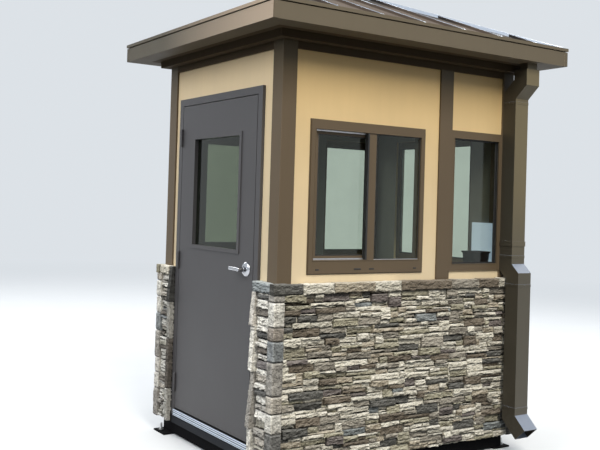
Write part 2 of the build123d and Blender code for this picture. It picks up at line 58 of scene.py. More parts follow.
GUTTER_Y = HALF_D + 0.236
EAVE_Z = 2.674
ROOF_SLOPE = 5.0 / 12.0
HALF_RIDGE = HALF_W - HALF_D
CORNERS = ((-1, -1), (-1, 1), (1, -1), (1, 1))


# Mesh helpers
def piece(name, bm, materials, body="booth", stands_for=(), smooth=False):
    """Close a bmesh into an object with its finishes and let it ride on a body."""
    bmesh.ops.recalc_face_normals(bm, faces=bm.faces)
    mesh = bpy.data.meshes.new(name)
    bm.to_mesh(mesh)
    bm.free()
    for poly in mesh.polygons:
        poly.use_smooth = smooth
    for mat in materials:
        mesh.materials.append(mat)
    obj = bpy.data.objects.new(name, mesh)
    bpy.context.scene.collection.objects.link(obj)
    if stands_for:
        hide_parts(*stands_for)
    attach(obj, body)


def add_block(bm, corner_a, corner_b, edge=0.0, mat=0):
    """A block between two corners, with chamfered edges where edge is given."""
    low = [min(a, b) for a, b in zip(corner_a, corner_b)]
    high = [max(a, b) for a, b in zip(corner_a, corner_b)]
    size = [above - below for below, above in zip(low, high)]
    mid = [(below + above) / 2 for below, above in zip(low, high)]
    place = Matrix.Translation(mid) @ Matrix.Diagonal((*size, 1.0))
    verts = bmesh.ops.create_cube(bm, size=1.0, matrix=place)["verts"]
    for face in {f for v in verts for f in v.link_faces}:
        face.material_index = mat
    if edge > 0:
        edges = list({e for v in verts for e in v.link_edges})
        bmesh.ops.bevel(bm, geom=edges, offset=edge, segments=1, profile=0.5, affect="EDGES", material=mat)


def add_border(bm, to_world, rect, width, d0, d1, edge=0.0):
    """Four bars round a rectangle, inside it; to_world maps along, out and up."""
    s0, s1, z0, z1 = rect
    bars = ((s0, s1, z0, z0 + width), (s0, s1, z1 - width, z1),
            (s0, s0 + width, z0 + width, z1 - width), (s1 - width, s1, z0 + width, z1 - width))
    for a, b, low, high in bars:
        add_block(bm, to_world(a, d0, low), to_world(b, d1, high), edge)


def facing(axis):
    """A matrix that turns +Z to the given direction."""
    return Vector((0, 0, 1)).rotation_difference(Vector(axis)).to_matrix().to_4x4()


def skin_rings(bm, rings):
    """Faces between rings of equally many points, and one across each end."""
    count = len(rings[0])
    for low, high in zip(rings, rings[1:]):
        for i in range(count):
            j = (i + 1) % count
            bm.faces.new((low[i], low[j], high[j], high[i]))
    bm.faces.new(rings[0])
    bm.faces.new(rings[-1])


def add_lathe(bm, profile, place, sides):
    """A turned part: the profile is radius and height, place is its matrix."""
    rings = []
    for radius, height in profile:
        ring = []
        for i in range(sides):
            a = 2 * math.pi * i / sides
            ring.append(bm.verts.new(place @ Vector((radius * math.cos(a), radius * math.sin(a), height))))
        rings.append(ring)
    skin_rings(bm, rings)


def add_rivet(bm, at, axis, radius, rise):
    """A low domed rivet or pan head."""
    sunk = 0.0006
    profile = ((radius, -sunk), (radius, rise * 0.35), (radius * 0.8, rise * 0.8), (radius * 0.4, rise))
    add_lathe(bm, profile, Matrix.Translation(at) @ facing(axis), 14)


def add_sweep(bm, path, half_sizes, sides=20):
    """A rounded bar along a level path; half_sizes gives its half width and half height at each point."""
    squareness = 0.8
    rings = []
    for i, point in enumerate(path):
        ahead = Vector(path[min(i + 1, len(path) - 1)]) - Vector(path[max(i - 1, 0)])
        side = ahead.cross(Vector((0, 0, 1))).normalized()
        wide, tall = half_sizes(i / (len(path) - 1))
        ring = []
        for k in range(sides):
            a = 2 * math.pi * k / sides
            c, n = math.cos(a), math.sin(a)
            across = side * (wide * math.copysign(abs(c) ** squareness, c))
            upward = Vector((0, 0, tall * math.copysign(abs(n) ** squareness, n)))
            ring.append(bm.verts.new(Vector(point) + across + upward))
        rings.append(ring)
    skin_rings(bm, rings)


# Shared effects
def new_group(name, inputs, outputs):
    """A shader group with named sockets; inputs are (name, kind, default)."""
    group = bpy.data.node_groups.new(name, "ShaderNodeTree")
    for label, kind, default in inputs:
        socket = group.interface.new_socket(name=label, in_out="INPUT", socket_type="NodeSocket" + kind)
        socket.default_value = default
    for label, kind in outputs:
        group.interface.new_socket(name=label, in_out="OUTPUT", socket_type="NodeSocket" + kind)
    return group, group.nodes.new("NodeGroupInput"), group.nodes.new("NodeGroupOutput")


def rgba(r, g, b):
    return (r, g, b, 1.0)


class Wiring:
    """Short ways to add and join nodes in one tree; a value is a socket or a plain value."""

    def __init__(self, tree):
        self.tree = tree

    def node(self, kind, **settings):
        made = self.tree.nodes.new("ShaderNode" + kind)
        for key, value in settings.items():
            setattr(made, key, value)
        return made

    def join(self, source, target):
        self.tree.links.new(source, target)

    def put(self, value, socket):
        """Join a socket, or set a plain value."""
        if isinstance(value, bpy.types.NodeSocket):
            self.join(value, socket)
        else:
            socket.default_value = value

    def coords(self):
        return self.node("TexCoord").outputs["Object"]

    def parts(self, vector):
        split = self.node("SeparateXYZ")
        self.join(vector, split.inputs[0])
        return split.outputs

    def place(self):
        """X, Y and Z of the place on the booth."""
        return self.parts(self.coords())

    def facing(self):
        """X, Y and Z of the way that the surface faces."""
        return self.parts(self.node("NewGeometry").outputs["Normal"])

    def cloud(self, scale, detail=3.0, rough=0.5, where=None, stretch=None):
        """Noise between 0 and 1 over the surface."""
        tex = self.node("TexNoise")
        tex.inputs["Scale"].default_value = scale
        tex.inputs["Detail"].default_value = detail
        tex.inputs["Roughness"].default_value = rough
        where = where or self.coords()
        if stretch:
            move = self.node("Mapping")
            move.inputs["Scale"].default_value = stretch
            self.join(where, move.inputs["Vector"])
            where = move.outputs["Vector"]
        self.join(where, tex.inputs["Vector"])
        return tex.outputs["Fac"]

    def cells(self, scale, where, **settings):
        """The distance from the middles of scattered cells."""
        tex = self.node("TexVoronoi", **settings)
        tex.inputs["Scale"].default_value = scale
        self.join(where, tex.inputs["Vector"])
        return tex.outputs["Distance"]

    def span(self, value, low, high, out_low=0.0, out_high=1.0):
        """Rescale a value from one span to another, clamped."""
        node = self.node("MapRange")
        self.put(value, node.inputs["Value"])
        node.inputs["From Min"].default_value = low
        node.inputs["From Max"].default_value = high
        node.inputs["To Min"].default_value = out_low
        node.inputs["To Max"].default_value = out_high
        return node.outputs["Result"]

    def math(self, kind, a, b=0.0):
        node = self.node("Math", operation=kind)
        self.put(a, node.inputs[0])
        self.put(b, node.inputs[1])
        return node.outputs[0]

    def times(self, value, *others):
        for other in others:
            value = self.math("MULTIPLY", value, other)
        return value

    def plus(self, value, *others):
        for other in others:
            value = self.math("ADD", value, other)
        return value

    def minus(self, value, other):
        return self.math("SUBTRACT", value, other)

    def absolute(self, value):
        return self.math("ABSOLUTE", value)

    def blend(self, amount, a, b):
        """Mix two colours, each a socket or its red, green and blue."""
        node = self.node("Mix", data_type="RGBA")
        self.put(amount, node.inputs["Factor"])
        for color, socket in ((a, node.inputs[6]), (b, node.inputs[7])):
            self.put(rgba(*color) if isinstance(color, tuple) else color, socket)
        return node.outputs[2]

    def brighten(self, color, value):
        node = self.node("HueSaturation")
        self.put(color, node.inputs["Color"])
        self.put(value, node.inputs["Value"])
        return node.outputs["Color"]

    def bump(self, height, distance, strength, under=None):
        node = self.node("Bump")
        self.put(strength, node.inputs["Strength"])
        node.inputs["Distance"].default_value = distance
        self.join(height, node.inputs["Height"])
        if under:
            self.join(under, node.inputs["Normal"])
        return node.outputs["Normal"]

    def mix_shaders(self, amount, first, second):
        node = self.node("MixShader")
        self.join(amount, node.inputs[0])
        self.join(first, node.inputs[1])
        self.join(second, node.inputs[2])
        return node.outputs[0]

    def ray_is(self, *kinds):
        """1 for rays of any of these kinds."""
        path = self.node("LightPath")
        found = path.outputs[kinds[0]]
        for kind in kinds[1:]:
            found = self.math("MAXIMUM", found, path.outputs[kind])
        return found


def build_paint_group():
    """Baked paint: faint mottling and runs, dust on upward faces and low down, orange peel."""
    group, gin, gout = new_group(
        "baked_paint",
        [("Paint", "Color", rgba(0.5, 0.5, 0.5)), ("Dust Colour", "Color", rgba(0.42, 0.38, 0.32)),
         ("Dust", "Float", 0.2), ("Peel", "Float", 0.3), ("Gloss Roughness", "Float", 0.4)],
        [("Color", "Color"), ("Roughness", "Float"), ("Normal", "Vector")])
    w = Wiring(group)
    place = w.coords()
    broad = w.cloud(3.1, 4.0, 0.55, place)
    fine = w.cloud(46.0, 3.0, 0.6, place)
    streak = w.cloud(7.0, 3.0, 0.5, place, (5.0, 5.0, 0.35))
    peel = w.cloud(420.0, 2.0, 0.5, place)
    tone = w.times(w.span(broad, 0.3, 0.7, 0.97, 1.03), w.span(streak, 0.3, 0.7, 0.99, 1.01))
    shade = w.brighten(gin.outputs["Paint"], tone)
    upward = w.span(w.facing()["Z"], 0.35, 0.95)
    low_down = w.span(w.parts(place)["Z"], 0.55, 0.02)
    reach = w.math("MAXIMUM", upward, w.times(low_down, 0.55))
    speck = w.span(w.times(fine, broad), 0.14, 0.42)
    dust = w.times(reach, speck, gin.outputs["Dust"])
    w.join(w.blend(dust, shade, gin.outputs["Dust Colour"]), gout.inputs["Color"])
    uneven = w.span(broad, 0.3, 0.7, -0.04, 0.06)
    w.join(w.plus(gin.outputs["Gloss Roughness"], uneven, w.times(dust, 0.35)), gout.inputs["Roughness"])
    w.join(w.bump(peel, 0.0004, gin.outputs["Peel"]), gout.inputs["Normal"])
    return group


def build_stone_group():
    """Split stone: bedding lines, mineral patches, dark pits, rough relief; pale painted highlights on upward
    faces and painted shade on faces that look down.

    Two values on the faces steer it: stone_tone brightens a stone, stone_greying mottles and greys it.
    """
    group, gin, gout = new_group(
        "split_stone",
        [("Body", "Color", rgba(0.4, 0.35, 0.28)), ("Patch", "Color", rgba(0.3, 0.25, 0.2)),
         ("Vein", "Color", rgba(0.6, 0.55, 0.45)), ("Patchiness", "Float", 0.5), ("Relief", "Float", 0.6)],
        [("Color", "Color"), ("Roughness", "Float"), ("Normal", "Vector")])
    body, patch_color, vein = (gin.outputs[label] for label in ("Body", "Patch", "Vein"))
    w = Wiring(group)
    place = w.coords()
    tone = w.node("Attribute", attribute_name="stone_tone").outputs["Fac"]
    greying = w.node("Attribute", attribute_name="stone_greying").outputs["Fac"]
    patch = w.cloud(15.0, 5.0, 0.65, place)
    bedding = w.cloud(24.0, 4.0, 0.6, place, (0.7, 0.7, 2.8))
    mottle = w.cloud(36.0, 3.0, 0.6, place)
    pits = w.cloud(75.0, 3.0, 0.6, place, (1.0, 1.0, 1.7))
    grain = w.cloud(170.0, 4.0, 0.7, place)
    chips = w.cells(70.0, place)
    rise = w.facing()["Z"]

    color = w.blend(w.times(w.span(patch, 0.40, 0.66), gin.outputs["Patchiness"]), body, patch_color)
    color = w.blend(w.span(bedding, 0.52, 0.72, 0.0, 0.32), color, vein)
    color = w.blend(w.span(bedding, 0.46, 0.30, 0.0, 0.25), color, patch_color)
    grained = w.span(grain, 0.28, 0.72, 0.74, 1.28)
    pitted = w.span(pits, 0.33, 0.45, 0.42, 1.0)
    # Faces that look down are darkened as painted shade
    underside_shade = w.span(rise, -0.55, -0.08, 0.20, 1.0)
    speckle = w.times(greying, w.span(mottle, 0.36, 0.64, -0.26, 0.26))
    value = w.times(tone, grained, pitted, underside_shade, w.plus(speckle, 1.0))
    # Upward faces are blended to the pale vein colour as a painted highlight
    top_highlight = w.span(rise, 0.12, 0.80, 0.0, 0.62)
    color = w.blend(top_highlight, w.brighten(color, value), vein)
    grey = w.node("RGBToBW")
    w.join(color, grey.inputs["Color"])
    w.join(w.blend(w.times(greying, 0.38), color, grey.outputs["Val"]), gout.inputs["Color"])
    w.join(w.span(grain, 0.2, 0.8, 0.84, 0.98), gout.inputs["Roughness"])

    heights = ((patch, 0.30), (bedding, 0.16), (chips, 0.42), (pits, 0.60), (grain, 0.34))
    relief = w.plus(*(w.times(part, share) for part, share in heights))
    w.join(w.bump(relief, 0.014, gin.outputs["Relief"]), gout.inputs["Normal"])
    return group


def build_metal_group():
    """Bare metal: fine lines one way, smudges and light oxide."""
    group, gin, gout = new_group(
        "bare_metal",
        [("Metal", "Color", rgba(0.6, 0.6, 0.6)), ("Smudge", "Float", 0.3), ("Line", "Float", 0.3),
         ("Gloss Roughness", "Float", 0.35)],
        [("Color", "Color"), ("Roughness", "Float"), ("Normal", "Vector")])
    w = Wiring(group)
    place = w.coords()
    smudge = w.cloud(24.0, 4.0, 0.6, place)
    lines = w.cloud(90.0, 2.0, 0.5, place, (12.0, 0.6, 12.0))
    spot = w.times(w.span(smudge, 0.48, 0.72), gin.outputs["Smudge"])
    w.join(w.blend(spot, gin.outputs["Metal"], (0.30, 0.29, 0.27)), gout.inputs["Color"])
    uneven = w.span(lines, 0.3, 0.7, -0.05, 0.05)
    w.join(w.plus(gin.outputs["Gloss Roughness"], w.times(spot, 0.4), uneven), gout.inputs["Roughness"])
    w.join(w.bump(lines, 0.0003, gin.outputs["Line"]), gout.inputs["Normal"])
    return group


PAINT = build_paint_group()
STONE = build_stone_group()
METAL = build_metal_group()


def new_material(name):
    """A material, the wiring of its tree and its main shader."""
    mat = bpy.data.materials.new(name)
    mat.use_nodes = True
    return mat, Wiring(mat.node_tree), mat.node_tree.nodes["Principled BSDF"]


def finish_with(name, group, values, metallic=0.0, specular=0.5):
    """A material whose surface comes from one shared effect with its own values."""
    mat, w, shader = new_material(name)
    shader.inputs["Metallic"].default_value = metallic
    shader.inputs["Specular IOR Level"].default_value = specular
    effect = w.node("Group", node_tree=group)
    for label, value in values.items():
        effect.inputs[label].default_value = value
    w.join(effect.outputs["Color"], shader.inputs["Base Color"])
    w.join(effect.outputs["Roughness"], shader.inputs["Roughness"])
    w.join(effect.outputs["Normal"], shader.inputs["Normal"])
    return mat


def recolour(mat, label, color):
    """Feed a colour that changes over the surface into the material's shared effect."""
    mat.node_tree.links.new(color, mat.node_tree.nodes["Group"].inputs[label])


def painted(name, color, dust, peel, rough, specular=0.5):
    """Paint or plastic with its own dust, orange peel and gloss."""
    values = {"Paint": rgba(*color), "Dust": dust, "Peel": peel, "Gloss Roughness": rough}
    return finish_with(name, PAINT, values, specular=specular)


def stone_finish(name, body, patch, vein):
    """One kind of split stone by its three colours."""
    colors = {"Body": rgba(*body), "Patch": rgba(*patch), "Vein": rgba(*vein)}
    return finish_with(name, STONE, {**colors, "Patchiness": 0.6, "Relief": 0.75}, specular=0.2)


def metal_finish(name, color, smudge, line, rough):
    """Bare metal or metallic paint with its own smudges and fine lines."""
    values = {"Metal": rgba(*color), "Smudge": smudge, "Line": line, "Gloss Roughness": rough}
    return finish_with(name, METAL, values, metallic=1.0)


# The soffit and top trim bronze is darker than the walls' bronze, as painted shade under the eaves
soffit_shade_bronze = painted("soffit_bronze_paint", (0.066, 0.047, 0.027),
                        dust=0.0, peel=0.15, rough=0.66, specular=0.08)
door_grey = painted("door_grey_paint", (0.0665, 0.0635, 0.0660),
                    dust=0.04, peel=0.45, rough=0.42, specular=0.4)
base_black = painted("base_black_paint", (0.004, 0.004, 0.005),
                     dust=0.02, peel=0.3, rough=0.75, specular=0.05)
sill_grey = painted("door_sill_paint", (0.018, 0.020, 0.025), dust=0.04, peel=0.3, rough=0.60, specular=0.12)
tray_plastic = painted("tray_black_plastic", (0.010, 0.005, 0.006), dust=0.03, peel=0.6, rough=0.3)
gasket = painted("glazing_gasket", (0.012, 0.012, 0.012), dust=0.15, peel=0.3, rough=0.55)
mortar = painted("mortar_bed", (0.006, 0.005, 0.004), dust=0.0, peel=1.0, rough=0.95, specular=0.1)
# The ceiling lining is dark partly for its own colour and partly as painted shade for the dim room
lining = painted("ceiling_lining", (0.26, 0.25, 0.22), dust=0.1, peel=0.5, rough=0.7)
floor_vinyl = painted("floor_vinyl", (0.07, 0.067, 0.062), dust=0.4, peel=0.6, rough=0.55)
counter_board = painted("counter_board", (0.05, 0.04, 0.032), dust=0.2, peel=0.4, rough=0.4)
# Pale blue-grey metal on the caps, seam beads and cap screws, standing as a painted reflection of the sky on
# the bronze
sky_sheen_cap_metal = metal_finish("metallic_cap_paint", (0.60, 0.66, 0.76), smudge=0.25, line=0.1, rough=0.22)
satin_chrome = metal_finish("satin_chrome", (0.50, 0.51, 0.54), smudge=0.45, line=0.2, rough=0.17)
track_aluminium = metal_finish("track_aluminium", (0.56, 0.56, 0.58), smudge=0.4, line=0.4, rough=0.40)
galvanised = metal_finish("galvanised_steel", (0.52, 0.53, 0.54), smudge=0.6, line=0.6, rough=0.50)


def wall_panel_finish():
    """Cream embossed panel outside, deeper and warmer high up as painted shade under the eaves, less so on
    the door side as painted light, with a dull lining on the room side darkened as painted shade for the dim
    room.
    """
    low_cream, eave_shaded_cream, room = (0.745, 0.605, 0.398), (0.640, 0.440, 0.184), (0.26, 0.245, 0.21)
    eave_shade_from, eave_shade_to = 1.20, 2.50
    door_side_lit_share = 0.7
    lining_depth = POST_PROUD + WALL_T - 0.0005
    mat = painted("cream_wall_panel", low_cream, dust=0.25, peel=0.2, rough=0.55)
    w = Wiring(mat.node_tree)
    place = w.coords()
    where = w.parts(place)
    in_x = w.math("LESS_THAN", w.absolute(where["X"]), HALF_W - lining_depth)
    in_y = w.math("LESS_THAN", w.absolute(where["Y"]), HALF_D - lining_depth)
    door_side = w.math("LESS_THAN", w.facing()["X"], -0.5)
    # The panel's top is painted deeper and warmer as painted shade under the eaves; the door side gets less
    # of it, as painted light
    panel_eave_shade = w.times(w.span(where["Z"], eave_shade_from, eave_shade_to), w.minus(1.0, w.times(door_side, door_side_lit_share)))
    # The room side is painted dull and dark, partly as painted shade for the dim room
    recolour(mat, "Paint", w.blend(w.times(in_x, in_y), w.blend(panel_eave_shade, low_cream, eave_shaded_cream), room))
    emboss = w.cells(190.0, place, feature="SMOOTH_F1")
    peel = mat.node_tree.nodes["Group"].outputs["Normal"]
    w.join(w.bump(emboss, 0.0008, 0.35, peel), mat.node_tree.nodes["Principled BSDF"].inputs["Normal"])
    return mat


def bronze_finish():
    """Bronze paint, darker and warmer high up as painted shade under the eaves."""
    lit_bronze, eave_shaded_bronze = (0.113, 0.082, 0.050), (0.058, 0.040, 0.015)
    shade_from, shade_to = 2.15, 2.50
    mat = painted("bronze_paint", lit_bronze, dust=0.25, peel=0.15, rough=0.44, specular=0.26)
    w = Wiring(mat.node_tree)
    # Painted shade: the bronze darkens and warms towards the eaves
    bronze_eave_shade = w.span(w.place()["Z"], shade_from, shade_to)
    recolour(mat, "Paint", w.blend(bronze_eave_shade, lit_bronze, eave_shaded_bronze))
    return mat


def roof_finish():
    """Bronze roof paint, lighter towards the eaves and near black beside the hips and the ridge as painted
    shade.
    """
    painted_cap_shade, open_panel = (0.026, 0.023, 0.022), (0.086, 0.066, 0.053)
    dark_to, pale_from = 0.12, 0.34
    mat = painted("roof_bronze_paint", open_panel, dust=0.10, peel=0.10, rough=0.66, specular=0.05)
    w = Wiring(mat.node_tree)
    where = w.place()
    past_ridge = w.math("MAXIMUM", w.minus(w.absolute(where["X"]), HALF_RIDGE), 0.0)
    from_cap = w.absolute(w.minus(w.absolute(where["Y"]), past_ridge))
    # Painted shade: the panels turn near black close to the hip and ridge caps
    recolour(mat, "Paint", w.blend(w.span(from_cap, dark_to, pale_from), painted_cap_shade, open_panel))
    return mat


def downspout_finish():
    """Bronze paint with painted light and shade: lighter high on its front, darker on its sides as painted
    shade, and pale blue on the slopes of the elbows as a painted reflection of the sky.
    """
    shaded_low_front, lit_high_front = (0.088, 0.078, 0.058), (0.150, 0.122, 0.068)
    painted_side_shade, painted_sky_sheen = (0.050, 0.043, 0.030), (0.185, 0.215, 0.275)
    light_from, light_to = 1.15, 1.75
    mat = painted("downspout_bronze_paint", lit_high_front, dust=0.15, peel=0.15, rough=0.42, specular=0.30)
    w = Wiring(mat.node_tree)
    facing_way = w.facing()
    # Painted light: the front is lighter high up, the sides darker, the sloping faces pale blue
    front = w.blend(w.span(w.place()["Z"], light_from, light_to), shaded_low_front, lit_high_front)
    sides = w.span(w.absolute(facing_way["X"]), 0.55, 0.80)
    sheen_slopes = w.span(facing_way["Z"], 0.42, 0.52)
    recolour(mat, "Paint", w.blend(sheen_slopes, w.blend(sides, front, painted_side_shade), painted_sky_sheen))
    return mat


def gutter_finish():
    """Bronze paint with a painted patch of sunlight towards the window end of the door side, and painted
    shade towards its far end.
    """
    plain, shaded, painted_sunlight = (0.128, 0.106, 0.074), (0.088, 0.077, 0.057), (0.410, 0.320, 0.235)
    sunlight_from, sunlight_to = 0.35, -0.90
    mat = painted("eave_bronze_paint", plain, dust=0.20, peel=0.15, rough=0.58, specular=0.18)
    w = Wiring(mat.node_tree)
    door_side = w.span(w.facing()["X"], -0.6, -0.9)
    along = w.span(w.place()["Y"], sunlight_from, sunlight_to)
    # Painted light: the door-side fascia goes from shaded to sunlit towards the window end
    recolour(mat, "Paint", w.blend(door_side, plain, w.blend(along, shaded, painted_sunlight)))
    return mat


def ribbed_sill_finish():
    """Mill finish aluminium, darker in lines at the pitch of its ribs."""
    bare, groove_line_colour = (0.66, 0.73, 0.82), (0.05, 0.052, 0.055)
    first_rib, rib_pitch = 0.150, 0.0125
    mat = metal_finish("ribbed_sill_aluminium", bare, smudge=0.25, line=0.5, rough=0.42)
    w = Wiring(mat.node_tree)
    across = w.math("FRACT", w.math("DIVIDE", w.minus(w.place()["Z"], first_rib), rib_pitch))
    groove = w.span(w.absolute(w.minus(across, 0.5)), 0.22, 0.12)
    # Darker lines are painted at the rib pitch
    recolour(mat, "Metal", w.blend(groove, bare, groove_line_colour))
    return mat


def glass_finish(name, tint):
    """Tinted glazing that lets lamp light through to what lies behind it."""
    reflection, lamp_light = rgba(0.45, 0.47, 0.44), rgba(0.90, 0.93, 0.90)
    smeared = tuple(0.95 * c for c in tint)
    mat, w, shader = new_material(name)
    shader.inputs["Metallic"].default_value = 0.0
    shader.inputs["Transmission Weight"].default_value = 1.0
    shader.inputs["IOR"].default_value = 1.5
    shader.inputs["Specular Tint"].default_value = reflection
    smear = w.cloud(5.0)
    w.join(w.span(smear, 0.4, 0.75, 0.0, 0.015), shader.inputs["Roughness"])
    w.join(w.blend(w.span(smear, 0.35, 0.8), tint, smeared), shader.inputs["Base Color"])
    through = w.node("BsdfTransparent")
    through.inputs["Color"].default_value = lamp_light
    lit = w.ray_is("Is Shadow Ray", "Is Diffuse Ray")
    shown = w.mix_shaders(lit, shader.outputs[0], through.outputs[0])
    w.join(shown, mat.node_tree.nodes["Material Output"].inputs["Surface"])
    return mat


def paper_finish():
    """White paper with fine fibres, tinted blue and given a faint blue glow as painted light for the sky
    light on it.
    """
    mat, w, shader = new_material("plain_paper")
    fibre = w.cloud(300.0, 3.0, 0.6)
    sky_tinted_white = w.blend(w.span(fibre, 0.3, 0.7), (0.88, 0.92, 0.98), (0.92, 0.95, 1.0))
    # Painted light: the blue tint and the glow stand for sky light falling on the paper
    glow = w.blend(w.span(fibre, 0.3, 0.7), (0.50, 0.68, 1.0), (0.54, 0.72, 1.0))
    w.join(sky_tinted_white, shader.inputs["Base Color"])
    w.join(glow, shader.inputs["Emission Color"])
    shader.inputs["Emission Strength"].default_value = 0.36
    w.join(w.span(fibre, 0.3, 0.7, 0.75, 0.9), shader.inputs["Roughness"])
    w.join(w.bump(fibre, 0.0003, 0.3), shader.inputs["Normal"])
    return mat


panel_cream = wall_panel_finish()
bronze = bronze_finish()
roof_bronze = roof_finish()
eave_bronze = gutter_finish()
downspout_bronze = downspout_finish()
ribbed_sill = ribbed_sill_finish()
window_glazing = glass_finish("window_glazing", (0.70, 0.755, 0.675))
# The door lite's glass is tinted very dark, partly as glass tint and partly as painted shade for the dim room
# behind it
lite_glazing = glass_finish("door_lite_glazing", (0.19, 0.22, 0.155))
paper = paper_finish()

# The kinds of stone, each with its body, its darker patches and its paler veins
STONE_COLOURS = {
    "cream": ((0.668, 0.628, 0.522), (0.44, 0.396, 0.315), (0.87, 0.83, 0.745)),
    "tan": ((0.405, 0.352, 0.264), (0.26, 0.212, 0.155), (0.68, 0.62, 0.52)),
    "khaki": ((0.362, 0.332, 0.240), (0.215, 0.193, 0.136), (0.60, 0.57, 0.46)),
    "grey": ((0.314, 0.284, 0.236), (0.177, 0.157, 0.129), (0.54, 0.50, 0.42)),
    "umber": ((0.168, 0.137, 0.103), (0.082, 0.066, 0.048), (0.31, 0.27, 0.22)),
    "slate": ((0.103, 0.099, 0.088), (0.052, 0.050, 0.044), (0.25, 0.245, 0.228)),
    "plum": ((0.162, 0.137, 0.127), (0.081, 0.069, 0.064), (0.33, 0.298, 0.275)),
    "blue_slate": ((0.215, 0.232, 0.232), (0.120, 0.131, 0.131), (0.40, 0.425, 0.42)),
}
KINDS = tuple(STONE_COLOURS)
STONE_MATERIALS = [stone_finish(kind + "_stone", *colours) for kind, colours in STONE_COLOURS.items()]
MORTAR_INDEX = len(KINDS)


# Stone facing: each wall's map takes the place along it, the depth out from the posts and the height
WALLS = {
    "front": lambda s, d, z: (s, -(HALF_D + d), z),
    "back": lambda s, d, z: (-s, HALF_D + d, z),
    "right": lambda s, d, z: (HALF_W + d, s, z),
    "left": lambda s, d, z: (-(HALF_W + d), -s, z),
}
FRAME_S0 = -FRAME_Y0
FRAME_S1 = -FRAME_Y1
QUOIN_X = 0.0735
QUOIN_Y = 0.062
QUOIN_Z0 = 0.100
QUOIN_Z1 = 1.088
JAMB_W = 0.040
CAP_LIP = 0.006
BED_DEPTH = 0.013
THIN_STONE = 0.018

# The darker and longer stones of the window wall, as start, end, low, high and kind
FRONT_STONES = (
    (-0.645, -0.440, 1.040, 1.089, "plum"), (-0.282, -0.159, 1.024, 1.074, "plum"),
    (-0.150, -0.041, 0.992, 1.046, "plum"), (-0.909, -0.732, 0.998, 1.033, "khaki"),
    (-0.691, -0.482, 0.974, 1.000, "umber"), (-0.915, -0.827, 0.933, 0.962, "slate"),
    (-0.820, -0.686, 0.931, 0.967, "slate"), (-0.686, -0.568, 0.925, 0.972, "grey"),
    (-0.568, -0.385, 0.896, 0.939, "khaki"), (-0.385, -0.205, 0.896, 0.939, "grey"),
    (-0.855, -0.659, 0.844, 0.887, "umber"), (-0.659, -0.464, 0.826, 0.852, "slate"),
    (-0.259, -0.059, 0.862, 0.889, "slate"), (-0.459, -0.273, 0.838, 0.875, "khaki"),
    (-0.909, -0.755, 0.728, 0.787, "khaki"), (-0.745, -0.568, 0.719, 0.751, "grey"),
    (-0.900, -0.745, 0.695, 0.722, "plum"), (-0.245, -0.055, 0.737, 0.774, "khaki"),
    (-0.455, -0.273, 0.692, 0.724, "grey"), (-0.864, -0.700, 0.640, 0.687, "umber"),
    (-0.700, -0.541, 0.640, 0.687, "grey"), (-0.541, -0.455, 0.633, 0.660, "grey"),
    (-0.455, -0.355, 0.628, 0.662, "plum"), (-0.355, -0.236, 0.628, 0.660, "umber"),
    (-0.455, -0.236, 0.598, 0.623, "khaki"), (-0.145, 0.055, 0.651, 0.692, "umber"),
    (-0.864, -0.627, 0.492, 0.531, "slate"), (-0.627, -0.482, 0.492, 0.537, "plum"),
    (-0.482, -0.309, 0.492, 0.524, "umber"), (-0.123, 0.000, 0.492, 0.524, "umber"),
    (0.000, 0.090, 0.495, 0.540, "plum"), (-0.827, -0.627, 0.428, 0.465, "slate"),
    (-0.623, -0.423, 0.444, 0.487, "umber"), (-0.273, -0.070, 0.398, 0.437, "slate"),
    (-0.070, 0.045, 0.398, 0.445, "slate"), (-0.818, -0.640, 0.337, 0.387, "umber"),
    (-0.640, -0.500, 0.337, 0.387, "grey"), (-0.909, -0.727, 0.285, 0.328, "slate"),
    (-0.486, -0.300, 0.287, 0.337, "grey"), (-0.191, 0.000, 0.296, 0.351, "umber"),
    (-0.595, -0.473, 0.215, 0.260, "plum"), (-0.764, -0.600, 0.219, 0.262, "khaki"),
    (-0.468, -0.273, 0.185, 0.216, "umber"), (-0.177, 0.010, 0.228, 0.278, "umber"),
    (-0.177, -0.045, 0.146, 0.183, "slate"), (0.082, 0.259, 0.896, 0.937, "blue_slate"),
    (0.377, 0.500, 0.910, 0.951, "grey"), (0.164, 0.359, 0.946, 0.969, "umber"),
    (0.505, 0.700, 0.846, 0.896, "umber"), (0.732, 0.873, 0.824, 0.869, "plum"),
    (0.332, 0.500, 0.749, 0.789, "slate"), (0.132, 0.318, 0.733, 0.787, "grey"),
    (-0.055, 0.123, 0.715, 0.760, "slate"), (0.505, 0.618, 0.715, 0.778, "umber"),
    (0.223, 0.380, 0.640, 0.683, "umber"), (0.380, 0.536, 0.640, 0.683, "grey"),
    (0.545, 0.705, 0.628, 0.660, "umber"), (0.718, 0.873, 0.633, 0.665, "slate"),
    (0.682, 0.855, 0.596, 0.622, "slate"), (0.377, 0.550, 0.525, 0.569, "khaki"),
    (0.182, 0.373, 0.489, 0.524, "slate"), (0.377, 0.523, 0.451, 0.487, "slate"),
    (0.673, 0.873, 0.490, 0.524, "umber"), (0.673, 0.800, 0.462, 0.487, "grey"),
    (0.173, 0.414, 0.398, 0.433, "khaki"), (0.105, 0.300, 0.322, 0.369, "slate"),
    (0.305, 0.432, 0.290, 0.337, "plum"), (0.591, 0.745, 0.328, 0.387, "umber"),
    (0.677, 0.873, 0.251, 0.290, "umber"), (0.432, 0.618, 0.185, 0.235, "slate"),
    (0.150, 0.336, 0.133, 0.178, "grey"), (0.086, 0.223, 0.260, 0.296, "khaki"),
    (0.341, 0.509, 0.115, 0.150, "plum"), (0.627, 0.718, 0.196, 0.242, "grey"),
    (0.785, 0.873, 0.735, 0.775, "umber"),
)
